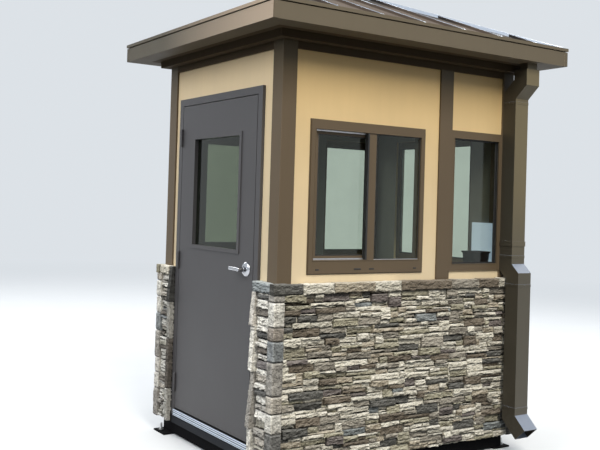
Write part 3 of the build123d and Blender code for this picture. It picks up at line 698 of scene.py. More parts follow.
# Corner blocks of the two left hand corners, as low, high and kind
QUOIN_NEAR = (
    (0.100, 0.192, "umber"), (0.194, 0.314, "slate"), (0.317, 0.425, "cream"), (0.428, 0.523, "tan"),
    (0.526, 0.711, "grey"), (0.714, 0.828, "blue_slate"), (0.831, 0.905, "umber"), (0.908, 1.044, "cream"),
    (1.047, 1.088, "grey"),
)
QUOIN_FAR = (
    (0.100, 0.285, "grey"), (0.288, 0.395, "cream"), (0.398, 0.500, "cream"), (0.503, 0.688, "grey"),
    (0.691, 0.810, "blue_slate"), (0.813, 0.925, "cream"), (0.928, 1.035, "cream"), (1.038, 1.088, "tan"),
)
# Upright stones beside the door, as low, high, kind and lift, which brightens a stone; the far jamb's lifts
# below one darken its stones as painted shade
JAMB_NEAR = (
    (0.100, 0.310, "cream", 1.25), (0.313, 0.632, "grey", 1.18),
    (0.635, 0.893, "cream", 1.45), (0.896, 1.088, "grey", 2.20),
)
# The far jamb's stones are darkened as painted shade
JAMB_FAR = (
    (0.100, 0.315, "cream", 0.64), (0.318, 0.655, "umber", 0.90),
    (0.658, 0.903, "cream", 0.74), (0.906, 1.147, "slate", 0.75),
)
# The narrow courses between the near jamb and its corner, each from its height up to the next
NEAR_STRIP = (
    (0.228, "tan"), (0.273, "grey"), (0.321, "khaki"), (0.371, "cream"), (0.423, "grey"), (0.459, "cream"),
    (0.512, "slate"), (0.547, "cream"), (0.585, "tan"), (0.637, "cream"), (0.662, "plum"),
    (0.704, "cream"), (0.739, "umber"), (0.784, "cream"), (0.803, "cream"), (0.828, "slate"),
    (0.871, "cream"), (0.908, "cream"), (0.951, "umber"), (1.008, "cream"), (1.052, "slate"),
    (1.075, "cream"), (1.088, ""),
)
NEAR_S0 = 0.545
NEAR_S1 = 0.664
NEAR_LEDGER = tuple((NEAR_S0, NEAR_S1, low, high, kind)
                    for (low, kind), (high, _) in zip(NEAR_STRIP, NEAR_STRIP[1:]))
# The cap stones of the window wall, as start, end, kind and lift
FRONT_CAPS = (
    (-1.0, -0.797, "slate", 0.85), (-0.797, -0.569, "cream", 0.75), (-0.569, -0.262, "tan", 1.05),
    (-0.262, -0.053, "cream", 0.92), (-0.053, 0.376, "umber", 1.12), (0.376, 0.621, "grey", 1.12),
    (0.621, 0.81, "umber", 1.12), (0.81, 1.0, "cream", 1.0),
)
# The steps in which faces of stone are cut, along and up, and their relief, as fineness and height
FACET_W = 0.0095
FACET_H = 0.0068
STONE_WAVES = ((1.0, 0.0038), (2.7, 0.0030), (6.1, 0.0022))
QUOIN_WAVES = ((1.0, 0.0022), (2.7, 0.0016), (6.0, 0.0008))


def noise_start(rng):
    """A random place in the noise, so that no two stones are alike."""
    return Vector([rng.random() * 90 for _ in range(3)])


def waves_at(here, waves):
    return sum(noise.noise(here * fineness) * height for fineness, height in waves)


def stone_grid(rect, proud, rng, rough):
    """Columns of points along, out and up over a split face, with an uneven outline and a worn rim."""
    s0, s1, z0, z1 = rect
    length, tall = s1 - s0, z1 - z0
    nu = max(3, round(length / FACET_W))
    nv = max(3, round(tall / FACET_H))
    seed = noise_start(rng)
    rim = min(0.0034, tall * 0.14)
    tilt = rng.uniform(-0.22, 0.10) * rough
    skew = rng.uniform(-0.020, 0.020) * rough
    slip = [rng.uniform(-0.0030, 0.0030) * rough for _ in range(4)]
    grid = []
    for i in range(nu + 1):
        u = i / nu
        column = []
        for j in range(nv + 1):
            v = j / nv
            s = s0 + length * u
            z = z0 + tall * v
            here = Vector((s * 26, z * 60, 0)) + seed
            # The face leans a little, and its bedding stands out as small ledges
            layer = noise.noise(Vector((s * 15, z * 75, 3.0)) + seed)
            ledge = 0.0012 * max(-1.0, min(1.0, layer * 7))
            lean = (v - 0.5) * tall * tilt + (u - 0.5) * length * skew
            depth = proud + (waves_at(here, STONE_WAVES) + ledge) * rough + lean
            # Its corners are out of square, its rim is worn back and its outline wanders
            z += (slip[0] * (1 - u) + slip[1] * u) * (1 - v) + (slip[2] * (1 - u) + slip[3] * u) * v
            edge = min(u * length, (1 - u) * length, v * tall, (1 - v) * tall)
            depth -= max(0.0, rim * (1.0 + 0.8 * noise.noise(here * 1.7)) - edge)
            shift = noise.noise(here * 1.3) * 0.0034 * rough
            if j in (0, nv):
                z += shift * (1 if 0 < i < nu else 0.3)
            elif i in (0, nu):
                s += shift
            column.append((s, depth, z))
        grid.append(column)
    return grid


def add_stone(bm, tones, to_world, rect, proud, kind, lift, rng, back=0.004, rough=1.0):
    """One split-faced stone: rect is start, end, low, high along the wall, and lift brightens it."""
    grid = stone_grid(rect, proud, rng, rough)
    nu, nv = len(grid) - 1, len(grid[0]) - 1
    front = [[bm.verts.new(to_world(*point)) for point in column] for column in grid]
    made = []
    for i in range(nu):
        for j in range(nv):
            made.append(bm.faces.new((front[i][j], front[i + 1][j], front[i + 1][j + 1], front[i][j + 1])))
    loop = [(i, 0) for i in range(nu)] + [(nu, j) for j in range(nv)]
    loop += [(i, nv) for i in range(nu, 0, -1)] + [(0, j) for j in range(nv, 0, -1)]
    rear = [bm.verts.new(to_world(grid[i][j][0], back, grid[i][j][2])) for i, j in loop]
    for k, (i, j) in enumerate(loop):
        m = (k + 1) % len(loop)
        made.append(bm.faces.new((front[i][j], rear[k], rear[m], front[loop[m][0]][loop[m][1]])))
    made.append(bm.faces.new(rear))
    index = KINDS.index(kind)
    value = rng.uniform(0.80, 1.16) * lift
    for face in made:
        face.material_index = index
        face[tones] = value


# Corner blocks carry painted light: a painted highlight along their corner, painted shade on the faces along
# the long walls and painted light on the end-wall faces
QUOIN_EDGE_HIGHLIGHT = 1.18
QUOIN_FRONT_SHADE = 0.88
QUOIN_SIDE_LIGHT = 1.06
QUOIN_LIFT = {"cream": 1.10, "umber": 2.10, "plum": 1.90, "slate": 1.90, "blue_slate": 1.25}
PLAIN_LIFT = 1.32


def quoin_rings(corner, z0, z1, proud, rng):
    """Level outlines of a corner block from low to high, and how many steps its front takes."""
    sx, sy = corner
    x_out, y_out = HALF_W + proud, HALF_D + proud
    x_in, y_in = HALF_W + 0.002, HALF_D + 0.002
    nz = max(4, round((z1 - z0) / 0.008))
    na = max(4, round(QUOIN_X / 0.009))
    nb = max(4, round(QUOIN_Y / 0.009))
    rim, end_rim, corner_rim = 0.0042, 0.0035, 0.0012
    seed = noise_start(rng)
    points = [(x_out - QUOIN_X + QUOIN_X * i / na, y_out) for i in range(na + 1)]
    points += [(x_out, y_out - QUOIN_Y * i / nb) for i in range(1, nb + 1)]
    rings = []
    for j in range(nz + 1):
        v = j / nz
        z = z0 + (z1 - z0) * v
        lip = max(0.0, rim - min(v, 1 - v) * (z1 - z0))
        ring = []
        for k, (x, y) in enumerate(points):
            here = Vector((x * 30, y * 30, z * 42)) + seed
            lips = lip + (end_rim if k in (0, len(points) - 1) else 0.0) + (corner_rim if k == na else 0.0)
            out = waves_at(here, QUOIN_WAVES) - lips
            rise = noise.noise(here * 1.3) * 0.0010 if j in (0, nz) else 0.0
            ring.append((x + (out if k >= na else 0.0), y + (out if k <= na else 0.0), z + rise))
        ring += [(x_in, y_out - QUOIN_Y, z), (x_in, y_in, z), (x_out - QUOIN_X, y_in, z)]
        rings.append([(sx * x, sy * y, up) for x, y, up in ring])
    return rings, na


def add_quoin(bm, tones, corner, z0, z1, proud, kind, rng):
    """A straight-edged corner block; corner is the signs of x and y."""
    outlines, front_steps = quoin_rings(corner, z0, z1, proud, rng)
    rings = [[bm.verts.new(point) for point in outline] for outline in outlines]
    index = KINDS.index(kind)
    value = rng.uniform(0.95, 1.05) * QUOIN_LIFT.get(kind, PLAIN_LIFT)

    def add_face(verts, tone):
        face = bm.faces.new(verts)
        face.material_index = index
        face[tones] = value * tone

    count = len(rings[0])
    for low, high in zip(rings, rings[1:]):
        for k in range(count):
            m = (k + 1) % count
            # Front faces get painted shade, end-wall faces painted light and the corner a painted highlight
            tone = QUOIN_FRONT_SHADE if k < front_steps else QUOIN_SIDE_LIGHT
            if k in (front_steps - 1, front_steps):
                tone = QUOIN_EDGE_HIGHLIGHT
            add_face((low[k], low[m], high[m], high[k]), tone)
    add_face(rings[0], 1.0)
    add_face(rings[-1], 1.0)


# The ledger's cells, and how many of them a stone is long and high
COURSE = 0.0124
CELL = 0.0125
STONE_LENGTHS = (5, 6, 7, 8, 9, 10, 11, 12, 13, 14, 16, 18, 20)
STONE_HEIGHTS = (1, 2, 3, 4)
HEIGHT_SHARES = (24, 43, 24, 9)
LEAST_LENGTH = 4
LONGEST_END = 18


def ledger_layout(s0, s1, z0, z1, placed, rng):
    """Fill a rectangle with long low stones round those already placed."""
    rows = round((z1 - z0) / COURSE)
    count = round((s1 - s0) / CELL)
    tall_of, wide_of = (z1 - z0) / rows, (s1 - s0) / count
    free = [[True] * count for _ in range(rows)]
    stones = []

    def claim(c0, c1, r0, r1, kind):
        for r in range(r0, r1):
            for c in range(c0, c1):
                free[r][c] = False
        stones.append((s0 + c0 * wide_of, s0 + c1 * wide_of, z0 + r0 * tall_of, z0 + r1 * tall_of, kind))

    for a, b, low, high, kind in placed:
        c0, c1 = max(0, round((a - s0) / wide_of)), min(count, round((b - s0) / wide_of))
        r0 = max(0, round((low - z0) / tall_of))
        r1 = min(rows, max(r0 + 2, round((high - z0) / tall_of)))
        if all(free[r][c] for r in range(r0, r1) for c in range(c0, c1)):
            claim(c0, c1, r0, r1, kind)
    for r in range(rows):
        c = 0
        while c < count:
            if not free[r][c]:
                c += 1
                continue
            run = 1
            while c + run < count and free[r][c + run]:
                run += 1
            want = rng.choice(STONE_LENGTHS)
            if run - want < LEAST_LENGTH:
                want = run if run <= LONGEST_END else run // 2
            tall = rng.choices(STONE_HEIGHTS, weights=HEIGHT_SHARES)[0]
            room = 1
            while room <= STONE_HEIGHTS[-1] and r + room < rows and all(free[r + room][c:c + want]):
                room += 1
            if room - tall == 1:
                tall = room if room <= STONE_HEIGHTS[-1] else tall - 1
            claim(c, c + want, r, r + min(tall, room), None)
            c += want
    return stones


def pick_kind(rng, tall, dark):
    """A kind of stone; thin ones are mostly pale, dark is the share of dark kinds."""
    pale_shares, dark_shares = (50, 12, 22, 16), (0.45, 0.27, 0.23, 0.05)
    if tall < THIN_STONE:
        pale_shares, dark = (60, 14, 16, 10), dark * 0.3
    weights = pale_shares + tuple(96 * dark * share for share in dark_shares)
    return rng.choices(KINDS, weights=weights)[0]


def add_ledger(bm, tones, to_world, s0, s1, rng, placed=(), dark=0.60, joint=0.0033, lift=1.0):
    """Fill part of a wall with ledger stones."""
    before = None
    z0, z1 = STONE_Z0 + 0.002, CAP_Z0 - CAP_LIP - 0.001
    for a, b, low, high, kind in ledger_layout(s0, s1, z0, z1, placed, rng):
        tall = high - low
        if kind is None:
            kind = pick_kind(rng, tall, dark)
            if kind == before and kind != "cream":
                kind = rng.choice(("cream", "tan"))
            before = kind
        proud = STONE_PROUD - rng.uniform(0.001, 0.021)
        if tall < THIN_STONE:
            proud -= 0.004
        gap = [rng.uniform(0.0007, joint) for _ in range(4)]
        rect = (a + gap[0], b - gap[1], low + gap[2], high - gap[3])
        add_stone(bm, tones, to_world, rect, proud, kind, lift, rng)


def mixed_run(start, end, next_size, least, kinds, rng):
    """Cut a length into stones of mixed size, as start, end and kind; no two neighbours are of one kind."""
    run = []
    kind = ""
    while start < end:
        stop = start + next_size()
        if end - stop < least:
            stop = end
        kind = rng.choice([other for other in kinds if other != kind])
        run.append((start, stop, kind))
        start = stop
    return run


def quoin_stack(seed):
    """Corner blocks of mixed height for one of the other two corners."""
    rng = random.Random(seed)
    heights = (0.075, 0.095, 0.11, 0.125, 0.15, 0.18)
    kinds = ("cream", "tan", "umber", "slate", "plum", "grey", "blue_slate")
    stack = mixed_run(QUOIN_Z0, QUOIN_Z1, lambda: rng.choice(heights), 0.06, kinds, rng)
    return [(low, high - 0.003, kind) for low, high, kind in stack]


def stone_walls():
    """All ledger stone and corner blocks, one piece for each wall."""
    quoins = {
        "front": (((-1, -1), QUOIN_NEAR), ((1, -1), quoin_stack(21))),
        "back": (((-1, 1), QUOIN_FAR), ((1, 1), quoin_stack(22))),
    }
    edge_x = HALF_W + STONE_PROUD - QUOIN_X - 0.001
    edge_y = HALF_D + STONE_PROUD - QUOIN_Y - 0.001
    near_jamb = (FRAME_S0 + 0.001, FRAME_S0 + JAMB_W)
    far_jamb = (FRAME_S1 - JAMB_W, FRAME_S1 - 0.001)
    jambs = {"left": ((*near_jamb, 0.054, JAMB_NEAR), (*far_jamb, 0.045, JAMB_FAR))}
    beside_near = dict(s0=near_jamb[1] + 0.004, s1=edge_y - 0.003, placed=NEAR_LEDGER,
                       dark=0.10, joint=0.0060, lift=1.60)
    beside_far = dict(s0=-edge_y, s1=far_jamb[0] - 0.002, dark=0.22, joint=0.0045, lift=1.08)
    ledgers = {
        "front": [dict(s0=-edge_x, s1=edge_x, placed=FRONT_STONES, dark=0.10)],
        "back": [dict(s0=-edge_x, s1=edge_x)],
        "right": [dict(s0=-edge_y, s1=edge_y)],
        "left": [beside_near, beside_far],
    }
    for number, (wall, spans) in enumerate(ledgers.items()):
        rng = random.Random(40 + number)
        bm = bmesh.new()
        bm.faces.layers.float.new("stone_greying")
        tones = bm.faces.layers.float.new("stone_tone")
        to_world = WALLS[wall]
        beds = []
        for span in spans:
            add_ledger(bm, tones, to_world, rng=rng, **span)
            beds.append((span["s0"] - 0.001, span["s1"] + 0.001))
        for s0, s1, proud, stack in jambs.get(wall, ()):
            beds.append((s0, s1))
            for z0, z1, kind, lift in stack:
                add_stone(bm, tones, to_world, (s0, s1, z0, z1), proud, kind, lift, rng, rough=0.45)
        ledger_faces = len(bm.faces)
        for corner, stack in quoins.get(wall, ()):
            for k, (z0, z1, kind) in enumerate(stack):
                add_quoin(bm, tones, corner, z0, z1, STONE_PROUD - (k % 3) * 0.0015, kind, rng)
        # The stones of the door side and the corner blocks are greyed and mottled
        greying = bm.faces.layers.float["stone_greying"]
        bm.faces.ensure_lookup_table()
        for face in bm.faces[0 if wall == "left" else ledger_faces:]:
            face[greying] = 1.0
        for s0, s1 in beds:
            add_block(bm, to_world(s0, 0.0, STONE_Z0), to_world(s1, BED_DEPTH, CAP_Z0), mat=MORTAR_INDEX)
        finishes = STONE_MATERIALS + [mortar]
        piece("ledger_stone_" + wall, bm, finishes, stands_for=("stone_" + wall,))


def cap_stones():
    """Rough-faced cap stones along the top of the stone facing."""
    rng = random.Random(7)
    kinds = ("cream", "tan", "umber", "grey", "slate", "khaki")
    out_x = HALF_W + CAP_PROUD
    inner = HALF_D - 0.002

    def random_caps(end):
        run = mixed_run(-end, end, lambda: rng.uniform(0.19, 0.40), 0.15, kinds, rng)
        return [(*stone, 1.12) for stone in run]

    runs = (("front", FRONT_CAPS), ("back", random_caps(out_x)), ("right", random_caps(inner)),
            ("left", ((-inner, FRAME_S1 - JAMB_W, "cream", 1.12), (FRAME_S0, inner, "blue_slate", 1.6))))
    bm = bmesh.new()
    tones = bm.faces.layers.float.new("stone_tone")
    for wall, run in runs:
        # The end walls' caps lie between the posts and reach back to the panel
        back = 0.001 - POST_PROUD if wall in ("right", "left") else -0.0005
        for s0, s1, kind, lift in run:
            rect = (s0 + 0.0012, s1 - 0.0012, CAP_Z0 - CAP_LIP, CAP_TOP - 0.002)
            add_stone(bm, tones, WALLS[wall], rect, CAP_PROUD - 0.004, kind, lift, rng, back, rough=0.8)
    piece("cap_stones", bm, STONE_MATERIALS, stands_for=("stone_caps",))


stone_walls()
cap_stones()


# Finishes of the solid pieces, and how far the edges of some are rounded
FINISHES = (
    (base_black, ("base_frame", "foot_plates")),
    (floor_vinyl, ("floor_deck",)),
    (bronze, ("corner_posts", "battens", "slider_frames", "slider_sashes", "fixed_frames")),
    (panel_cream, ("wall_front", "wall_back", "wall_right", "wall_left_sides", "wall_left_header")),
    (soffit_shade_bronze, ("top_trim", "roof_ring")),
    (sill_grey, ("door_sill",)),
    (ribbed_sill, ("threshold",)),
    (door_grey, ("door_frame", "door_leaf", "lite_frame", "hinges_frame_side", "hinges_door_side")),
    (lite_glazing, ("lite_glass",)),
    (window_glazing, ("window_glass",)),
    (lining, ("ceiling",)),
    (counter_board, ("counter",)),
    (tray_plastic, ("tray",)),
    (paper, ("notice",)),
    (eave_bronze, ("gutter", "drip_edge")),
    (roof_bronze, ("roof_front", "roof_back", "roof_right", "roof_left")),
    (sky_sheen_cap_metal, ("roof_caps",)),
    (downspout_bronze, ("downspout_pipes", "downspout_elbows", "downspout_strap")),
)
SOFT_EDGES = (
    (0.0004, ("threshold",)),
    (0.0008, ("gutter",)),
    (0.0010, ("drip_edge",)),
    (0.0012, ("door_leaf",)),
    (0.0015, ("door_frame", "slider_frames", "slider_sashes", "fixed_frames")),
    (0.0015, ("top_trim", "foot_plates", "tray")),
    (0.0020, ("lite_frame", "battens", "counter", "roof_ring")),
    (0.0030, ("downspout_elbows",)),
    (0.0040, ("downspout_pipes",)),
)


def finish_solids():
    """Give every solid its finish."""
    for mat, names in FINISHES:
        for name in names:
            obj = nodes[name]
            if not obj.material_slots:
                obj.data.materials.append(mat)
            for holder in obj.material_slots:
                holder.material = mat


def soften_edges():
    """Round the sharp edges of the solids that show them most."""
    for width, names in SOFT_EDGES:
        for name in names:
            soft = nodes[name].modifiers.new("soft edges", "BEVEL")
            soft.width = width
            soft.segments = 2
            soft.limit_method = "ANGLE"
            soft.angle_limit = math.radians(40)


# Anchor bolt, as turned profiles of radius and height over the ground
BOLT_OUT = 0.018
BOLT_IN = 0.051
STUD = ((0.008, 0.001), (0.008, 0.050), (0.0072, 0.052), (0.0066, 0.054))
WASHER = ((0.0165, 0.0101), (0.0168, 0.0112), (0.0168, 0.0122), (0.0160, 0.0128))
NUT = ((0.0125, 0.0129), (0.0138, 0.0145), (0.0138, 0.0245), (0.0125, 0.0262))


def anchor_bolts():
    """Stud, washer and hexagon nut through each foot plate."""
    bm = bmesh.new()
    for sx, sy in CORNERS:
        place = Matrix.Translation((sx * (HALF_W + BOLT_OUT), sy * (HALF_D - BOLT_IN), 0.0))
        add_lathe(bm, STUD, place, 20)
        add_lathe(bm, WASHER, place, 28)
        add_lathe(bm, NUT, place, 6)
    piece("anchor_bolts", bm, [galvanised])


# Lever set: a hub with a key cylinder, a flat grip and a round rose on each face of the leaf
LEVER_Y = -0.379
LEVER_Z = 1.204
LEVER_OUT = 0.068
LEVER_TIP = LEVER_Y + 0.114
LEAF_IN_X = DOOR_X + 0.0445
LEAF_FACES = ((-1, DOOR_X), (1, LEAF_IN_X))
HUB = ((0.0150, 0.0165), (0.0146, 0.030), (0.0132, 0.046), (0.0130, LEVER_OUT - 0.005),
       (0.0118, LEVER_OUT - 0.002), (0.0095, LEVER_OUT - 0.001), (0.0088, LEVER_OUT - 0.0022),
       (0.0030, LEVER_OUT - 0.0018))
ROSE = ((0.0440, 0.0), (0.0440, 0.0030), (0.0430, 0.0055), (0.0385, 0.0098), (0.0320, 0.0130),
        (0.0245, 0.0148), (0.0185, 0.0154), (0.0170, 0.0150), (0.0160, 0.0130))
GRIP_BOW = 0.004
GRIP_BEND = 0.014


def grip_path(out, face_x):
    """The middle of a grip: slightly bowed along the leaf, then bent towards it at the tip."""
    mid = LEVER_OUT - 0.011
    y0, y1 = LEVER_Y + 0.004, LEVER_TIP - GRIP_BEND
    points = []
    for k in range(15):
        t = k / 14
        points.append((mid - GRIP_BOW * math.sin(math.pi * t), y0 + (y1 - y0) * t))
    for k in range(1, 8):
        a = math.pi / 2 * k / 7
        points.append((mid - GRIP_BEND * (1 - math.cos(a)), y1 + 0.008 * math.sin(a)))
    points.append((mid - 0.020, LEVER_TIP - 0.006))
    return [(face_x + out * away, y, LEVER_Z) for away, y in points]


def grip_size(t):
    """Half the thickness and half the height of a grip, thinner midway and lower towards its tip."""
    return 0.0068 - 0.0012 * math.sin(math.pi * t), 0.0118 - 0.0016 * t


def lever_handles():
    bm = bmesh.new()
    for out, face_x in LEAF_FACES:
        add_lathe(bm, HUB, Matrix.Translation((face_x, LEVER_Y, LEVER_Z)) @ facing((out, 0, 0)), 40)
        add_sweep(bm, grip_path(out, face_x), grip_size)
    piece("door_lever_handles", bm, [satin_chrome], "lever", ("door_lever",), smooth=True)


def lever_rose_discs():
    bm = bmesh.new()
    for out, face_x in LEAF_FACES:
        add_lathe(bm, ROSE, Matrix.Translation((face_x, LEVER_Y, LEVER_Z)) @ facing((out, 0, 0)), 56)
    piece("lever_rose_discs", bm, [satin_chrome], "door", ("lever_roses",), smooth=True)


# Window trim: each panel's map takes the place along it, the depth out from its face and the height
PANEL_Y = HALF_D - POST_PROUD
PANEL_X = HALF_W - POST_PROUD
PANELS = {
    "front": lambda s, d, z: (s, -(PANEL_Y + d), z),
    "back": lambda s, d, z: (s, PANEL_Y + d, z),
    "right": lambda s, d, z: (PANEL_X + d, s, z),
}
LONG_SIDES = (PANELS["front"], PANELS["back"])
SLIDER = (-0.737, 0.152, 1.200, 2.089)
SLIDER_HOLE = (-0.703, 0.118, 1.277, 2.037)
MULLION = (-0.300, -0.244)
SASH_GLASS = (-0.6647, -0.2940, 1.3013, 2.0127)
PANE_GLASS = (MULLION[1], *SLIDER_HOLE[1:])
FIXED_GLASS = (0.413, 0.8245, 1.244, 2.056)
RIGHT_GLASS = (-0.352, 0.352, 1.244, 2.056)
FRAME_OUT = 0.010
BRUSH_W = 0.012
# Drain slots in the sliding window's sill, as their middle and half their length
WEEPS = ((-0.672, 0.012), (-0.372, 0.026), (-0.262, 0.018), (0.088, 0.012))
WEEP_Z0 = 1.219
WEEP_Z1 = 1.2275


def grown(rect, by):
    """A rectangle with every side moved out."""
    s0, s1, z0, z1 = rect
    return s0 - by, s1 + by, z0 - by, z1 + by


def fixed_beads(bm, to_world, glass):
    """The black liner of a fixed window's deep reveal and the bead on its pane."""
    pane_out = FRAME_OUT - 0.027
    add_border(bm, to_world, glass, 0.0016, pane_out, FRAME_OUT - 0.007)
    add_border(bm, to_world, glass, 0.009, pane_out, pane_out + 0.005, 0.001)


def glazing_beads():
    """Black beads round every pane and black liners in the deep reveals of the fixed windows."""
    bm = bmesh.new()
    pane_out = FRAME_OUT - 0.012
    sash_out = FRAME_OUT - 0.032
    for to_world in LONG_SIDES:
        add_border(bm, to_world, PANE_GLASS, 0.006, pane_out, pane_out + 0.004, 0.001)
        add_border(bm, to_world, SASH_GLASS, 0.006, sash_out - 0.007, sash_out - 0.001, 0.001)
        fixed_beads(bm, to_world, FIXED_GLASS)
    fixed_beads(bm, PANELS["right"], RIGHT_GLASS)
    piece("glazing_beads", bm, [gasket])


def fixed_lip(bm, to_world, glass):
    """The raised inner lip of a fixed window's frame."""
    add_border(bm, to_world, grown(glass, 0.004), 0.004, FRAME_OUT - 0.003, FRAME_OUT + 0.0020, 0.0008)


def window_lips():
    """Raised inner lips of the window frames, and the flange round each sliding window."""
    bm = bmesh.new()
    for to_world in LONG_SIDES:
        hole = grown(SLIDER_HOLE, 0.005)
        add_border(bm, to_world, hole, 0.0045, FRAME_OUT - 0.003, FRAME_OUT + 0.0025, 0.001)
        add_border(bm, to_world, grown(SLIDER, 0.006), 0.012, 0.0002, 0.004, 0.001)
        fixed_lip(bm, to_world, FIXED_GLASS)
    fixed_lip(bm, PANELS["right"], RIGHT_GLASS)
    piece("window_lips", bm, [bronze])


def sash_tracks():
    """Aluminium lips of the sash's track, above and below, and along the sill of the still pane."""
    bm = bmesh.new()
    s0, s1, z0, z1 = SLIDER_HOLE
    sash_end = MULLION[0] - BRUSH_W
    d0, d1 = FRAME_OUT - 0.029, FRAME_OUT - 0.024
    lips = ((s0, sash_end, d0, d1, z0, z0 + 0.010), (s0, sash_end, d0, d1, z1 - 0.008, z1),
            (MULLION[1], s1, FRAME_OUT - 0.008, FRAME_OUT - 0.004, z0, z0 + 0.004))
    for to_world in LONG_SIDES:
        for a, b, inner, outer, low, high in lips:
            add_block(bm, to_world(a, inner, low), to_world(b, outer, high), 0.001)
    piece("sash_tracks", bm, [track_aluminium])


def sash_interlocks():
    """Black brush seal between the sash and the mullion, the full height of the opening; its black also
    stands as painted shade for the mullion's shadowed side.
    """
    bm = bmesh.new()
    z0, z1 = SLIDER_HOLE[2:]
    for to_world in LONG_SIDES:
        low = to_world(MULLION[0] - BRUSH_W, FRAME_OUT - 0.031, z0)
        add_block(bm, low, to_world(MULLION[0], FRAME_OUT - 0.001, z1), 0.001)
    piece("sash_interlocks", bm, [gasket])


def weep_covers():
    """Small black covers over the drain slots in the sliding windows' sills."""
    bm = bmesh.new()
    for to_world in LONG_SIDES:
        for mid, half in WEEPS:
            low = to_world(mid - half, FRAME_OUT - 0.001, WEEP_Z0)
            add_block(bm, low, to_world(mid + half, FRAME_OUT + 0.0022, WEEP_Z1), 0.001)
    piece("weep_covers", bm, [gasket])


# Door stop: its two sides, its top and the height of the sill; and the hinges' pivot and heights
STOP_Y0 = -0.454
STOP_Y1 = 0.470
STOP_TOP = 2.237
SILL_TOP = 0.196
HINGE_X = DOOR_X - 0.009
HINGE_Y = 0.4675
HINGE_HEIGHTS = (0.372, 1.1965, 2.021)
HINGE_REACH = 0.0565


def door_seals():
    """Compression seal along both sides and the top of the door stop."""
    bm = bmesh.new()
    x1 = LEAF_IN_X + 0.0055
    x0 = x1 - 0.0045
    near, far = 0.004, 0.013
    bars = ((STOP_Y0 + near, SILL_TOP, STOP_Y0 + far, STOP_TOP - near),
            (STOP_Y1 - far, SILL_TOP, STOP_Y1 - near, STOP_TOP - near),
            (STOP_Y0 + far, STOP_TOP - far, STOP_Y1 - far, STOP_TOP - near))
    for y0, z0, y1, z1 in bars:
        add_block(bm, (x0, y0, z0), (x1, y1, z1), 0.001)
    piece("door_seals", bm, [gasket])


def hinge_pin_ends():
    """Domed ends on the hinge pins."""
    bm = bmesh.new()
    dome = ((0.0078, 0.0), (0.0078, 0.0012), (0.0060, 0.0030), (0.0030, 0.0040))
    for z in HINGE_HEIGHTS:
        for sign in (-1, 1):
            place = Matrix.Translation((HINGE_X, HINGE_Y, z + sign * HINGE_REACH)) @ facing((0, 0, sign))
            add_lathe(bm, dome, place, 20)
    piece("hinge_pin_ends", bm, [door_grey], smooth=True)


def gutter_fittings():
    """Lap strips and rivets at the gutter's mitres, and hangers across the trough."""
    bm = bmesh.new()
    z0, z1 = RING_TOP, RING_TOP + GUTTER_H
    lap, lap_w = 0.0012, 0.028
    lap_x, lap_y = GUTTER_X + lap, GUTTER_Y + lap
    for sx, sy in CORNERS:
        mitre = (sx * lap_x, sy * lap_y, z1 - 0.001)
        add_block(bm, (sx * GUTTER_X, sy * (GUTTER_Y - lap_w), z0 + 0.001), mitre)
        add_block(bm, (sx * (GUTTER_X - lap_w), sy * GUTTER_Y, z0 + 0.001), mitre)
        for z in (z0 + 0.018, z1 - 0.018):
            add_rivet(bm, (sx * lap_x, sy * (GUTTER_Y - 0.016), z), (sx, 0, 0), 0.0032, 0.0012)
            add_rivet(bm, (sx * (GUTTER_X - 0.016), sy * lap_y, z), (0, sy, 0), 0.0032, 0.0012)
    hang_z0 = z1 - 0.016
    hang_z1 = hang_z0 + 0.0015
    half, gap = 0.011, 0.003
    for sy in (-1, 1):
        for k in (-2, -1, 0, 1, 2):
            x = 0.48 * k
            wall_end = (x - half, sy * (HALF_D + EAVE_OUT + gap), hang_z0)
            add_block(bm, wall_end, (x + half, sy * (GUTTER_Y - gap), hang_z1))
    for sx in (-1, 1):
        for k in (-1, 0, 1):
            y = 0.52 * k
            wall_end = (sx * (HALF_W + EAVE_OUT + gap), y - half, hang_z0)
            add_block(bm, wall_end, (sx * (GUTTER_X - gap), y + half, hang_z1))
    piece("gutter_fittings", bm, [eave_bronze])


# Roof: the seams' pitch, how far the long sides' seams are shifted, and where they stop beside the caps
SEAM_PITCH = 0.33
SEAM_SHIFT = -0.092
SEAM_TOP = 0.0175
OFF_HIP = 0.056
OFF_EAVE = 0.014
CAP_RISE = 0.020
CAP_SCREW_OFF = 0.026


def roof_height(x, y):
    """Height of the panels' upper face over a point of the plan."""
    return EAVE_Z + ROOF_SLOPE * min(GUTTER_X - abs(x), GUTTER_Y - abs(y))


def seam_beads():
    """Folded beads along the tops of the standing seams, pale as a painted highlight."""
    bm = bmesh.new()
    low_x, low_y = GUTTER_X - OFF_EAVE, GUTTER_Y - OFF_EAVE
    lines = []
    for i in range(-3, 5):
        x = SEAM_SHIFT + SEAM_PITCH * i
        high = max(0.040, abs(x) - HALF_RIDGE + OFF_HIP)
        if high < low_y - 0.03 and abs(x) < low_x - 0.06:
            lines += [((x, sy * low_y), (x, sy * high)) for sy in (-1, 1)]
    for i in range(-2, 3):
        y = SEAM_PITCH * i
        high = HALF_RIDGE + abs(y) + OFF_HIP + (0.03 if i == 0 else 0.0)
        lines += [((sx * low_x, y), (sx * high, y)) for sx in (-1, 1)]
    for ends in lines:
        path = [(x, y, roof_height(x, y) + SEAM_TOP) for x, y in ends]
        add_sweep(bm, path, lambda t: (0.0042, 0.0024), sides=10)
    piece("seam_beads", bm, [sky_sheen_cap_metal], smooth=True)


